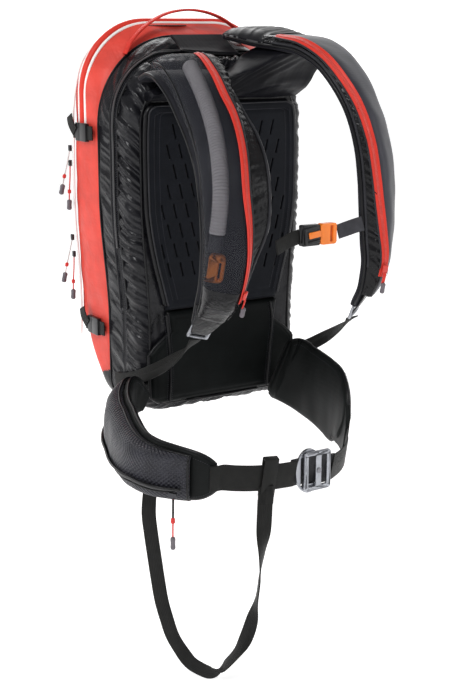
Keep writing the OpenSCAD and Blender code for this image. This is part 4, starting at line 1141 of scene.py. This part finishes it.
# webbing threaded through the buckle: round the ring's bar, and behind the hook plate's slots
for name, xs, ys, size, body in (
        ("belt_fold_right", (-74, -64, -50, -31), (-277.6, -276.9, -276.8, -276.8), (41, 1.6), "hip_right"),
        ("belt_fold_left", (-8, -12, -16, -18), (-283.9, -283.3, -283.0, -283.0), (40, 0.7), "hip_left"),
        ("belt_fold_inner", (-15, -28, -41, -55), (-283, -283, -283, -283), (44, 0.7), "hip_left")):
    ribbon(name, [[x, y, -103] for x, y in zip(xs, ys)], BELT_UP, size, 30, BELT_FOLD, body)
for part in ("ring", "hook"):
    bevelled(f"buckle_{part}", f"buckle_{part}_metal", ALUMINIUM, 1.1, 4)
bevelled("buckle_rivet", "buckle_rivet_metal", STEEL, 0.5)

# hip pocket pull: slider, black cord, red knot, red cord and grip
HIP_CORD = 64
slider = NODES["hip_zip_slider"]
centre = np.array([list(slider.matrix_world @ Vector(c)) for c in slider.bound_box]).mean(axis=0)
bevelled("hip_zip_slider", "hip_zip_slider_metal", DARK_METAL, 0.7)
cord_top = centre + mm([-0.5, -2.5, -4.5])
cord_line = cord_top + mm([[-1.5 * math.sin(2.2 * k), -1.2 * math.sin(3 * k), -HIP_CORD * k]
                           for k in np.linspace(0, 1, 60)])
hip_cord = tube("hip_pull_cord", cord_line, 1.1, RED_CORD, "hip_slider")
tube("hip_pull_upper_cord", cord_line[:24], 1.5, PIPING, "hip_slider")
knot = tube("hip_pull_knot", cord_line[22:31], (1.4, 2.3, 2.9, 2.6, 3.0, 2.7, 2.9, 2.2, 1.3), RED_CORD,
            "hip_slider", 12)
grip = toggle("hip_pull_grip", cord_line[46], cord_line[46] + mm([0, 0, -18]), 3.6, "hip_slider")

# ---------------------------------------------------------------- compression straps
bevelled("compression_webbing", "compression_webbing_weave", BLACK_WEB, 0.4)
bevelled("compression_males", "compression_tongues", ACETAL, 1.0)
bevelled("compression_females", "compression_sockets", ACETAL, 1.0)
TAIL = [[3.2, 146, 0], [4.5, 151, 6], [5.5, 156, 14], [4.8, 160, 22]]
for z in (312, 24):
    for side, word in ((-1, "right"), (1, "left")):
        tail = [[side * (158 * taper(z) + 4.6 + out), y, z + up] for out, y, up in TAIL]
        ribbon(f"compression_tail_{z}_{word}", tail, [0, 1, -0.6], (18, 1.6), 24, BLACK_WEB)

# ---------------------------------------------------------------- cord pulls on the front zip
PULLS = [[286, 169.6, 14], [264, 170.8, 3], [152, 177, 14], [126, 178.6, 3]]
PULL_CORD = 50
for k, (z, y, lean) in enumerate(PULLS):
    name = body = f"front_pull_{k + 1}"
    spot = mm([-(158 + 5.4) * taper(z) - (0 if z > 200 else 0.8), y, z])
    down = np.array([-math.sin(math.radians(lean)), 0, -math.cos(math.radians(lean))])
    rounded_box(name + "_slider", (4, 6, 9), spot, np.eye(3), 0.9, DARK_METAL, body,
                nodes=[f"front_zip_pull_{k + 1}"], slot="cord_pull")
    path = spot + mm([down * (4.4 + PULL_CORD * q) + [0.5 * math.sin(5 * q), 0.6 * math.sin(4 * q), 0]
                      for q in np.linspace(0, 1, 40)])
    cord = tube(name + "_cord", path, 1.0, WHITE_CORD if k % 2 == 0 else RED_CORD, body)
    tie = tube(name + "_knot", path[27:33], (1.3, 2.5, 2.9, 2.5, 2.8, 1.4), RED_CORD, body, 12)
    grip = toggle(name + "_grip", spot + down * 54 * MM, spot + down * 70 * MM, 4.0, body)

# ---------------------------------------------------------------- inside the bag
roll = mm([[x, 132, 388 + 6 * math.cos(math.radians(x * 0.9))] for x in np.linspace(-100, 100, 90)])
a = closed_turn(50)
ends = (1 - 0.35 * np.abs(np.linspace(-1, 1, 90)) ** 8)[:, None]
bundle = roll[:, None] + np.stack([0 * a * ends, 20 * MM * np.sin(a) * ends, 42 * MM * np.cos(a) * ends], -1)
bundle = bundle - closed_normals(bundle) * (1.2 * MM * (1 + fold_noise(bundle, (14, 30, 30), 2.0)))[..., None]
grid("airbag_folded", bundle, AIRBAG, closed=True, caps=True, nodes=["airbag_bundle"], slot="airbag_fabric")
paint(UNIT, "frame_sheet", "fan_housing", "power_pack", "battery_case", "outlet_neck")
paint(ALUMINIUM, "frame_stays", "fan_motor")
paint(LIGHT_PLASTIC, "fan_impeller", "trigger_cable")
paint(GREEN, "power_button")
paint(RED_PLASTIC, "switch_lever")

# ---------------------------------------------------------------- floor and backdrop
FLOOR_HALF, WALL_AWAY, WALL_TALL = 40, 34, 45
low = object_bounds()[0][2]
corners = ((-1, -1), (1, -1), (1, 1), (-1, 1))
ground = [(x * FLOOR_HALF, y * FLOOR_HALF, low - 0.002) for x, y in corners]
make("floor", ground, [(0, 1, 2, 3)], FLOOR, None)
far, wide = np.array([0.53, 0.848, 0]) * WALL_AWAY, np.array([-0.848, 0.53, 0]) * FLOOR_HALF
foot = low - 0.01
wall = [far + wide * k + [0, 0, z] for k, z in ((-1, foot), (-1, WALL_TALL), (1, WALL_TALL), (1, foot))]
make("backdrop", wall, [(0, 1, 2, 3)], BACKDROP, None)
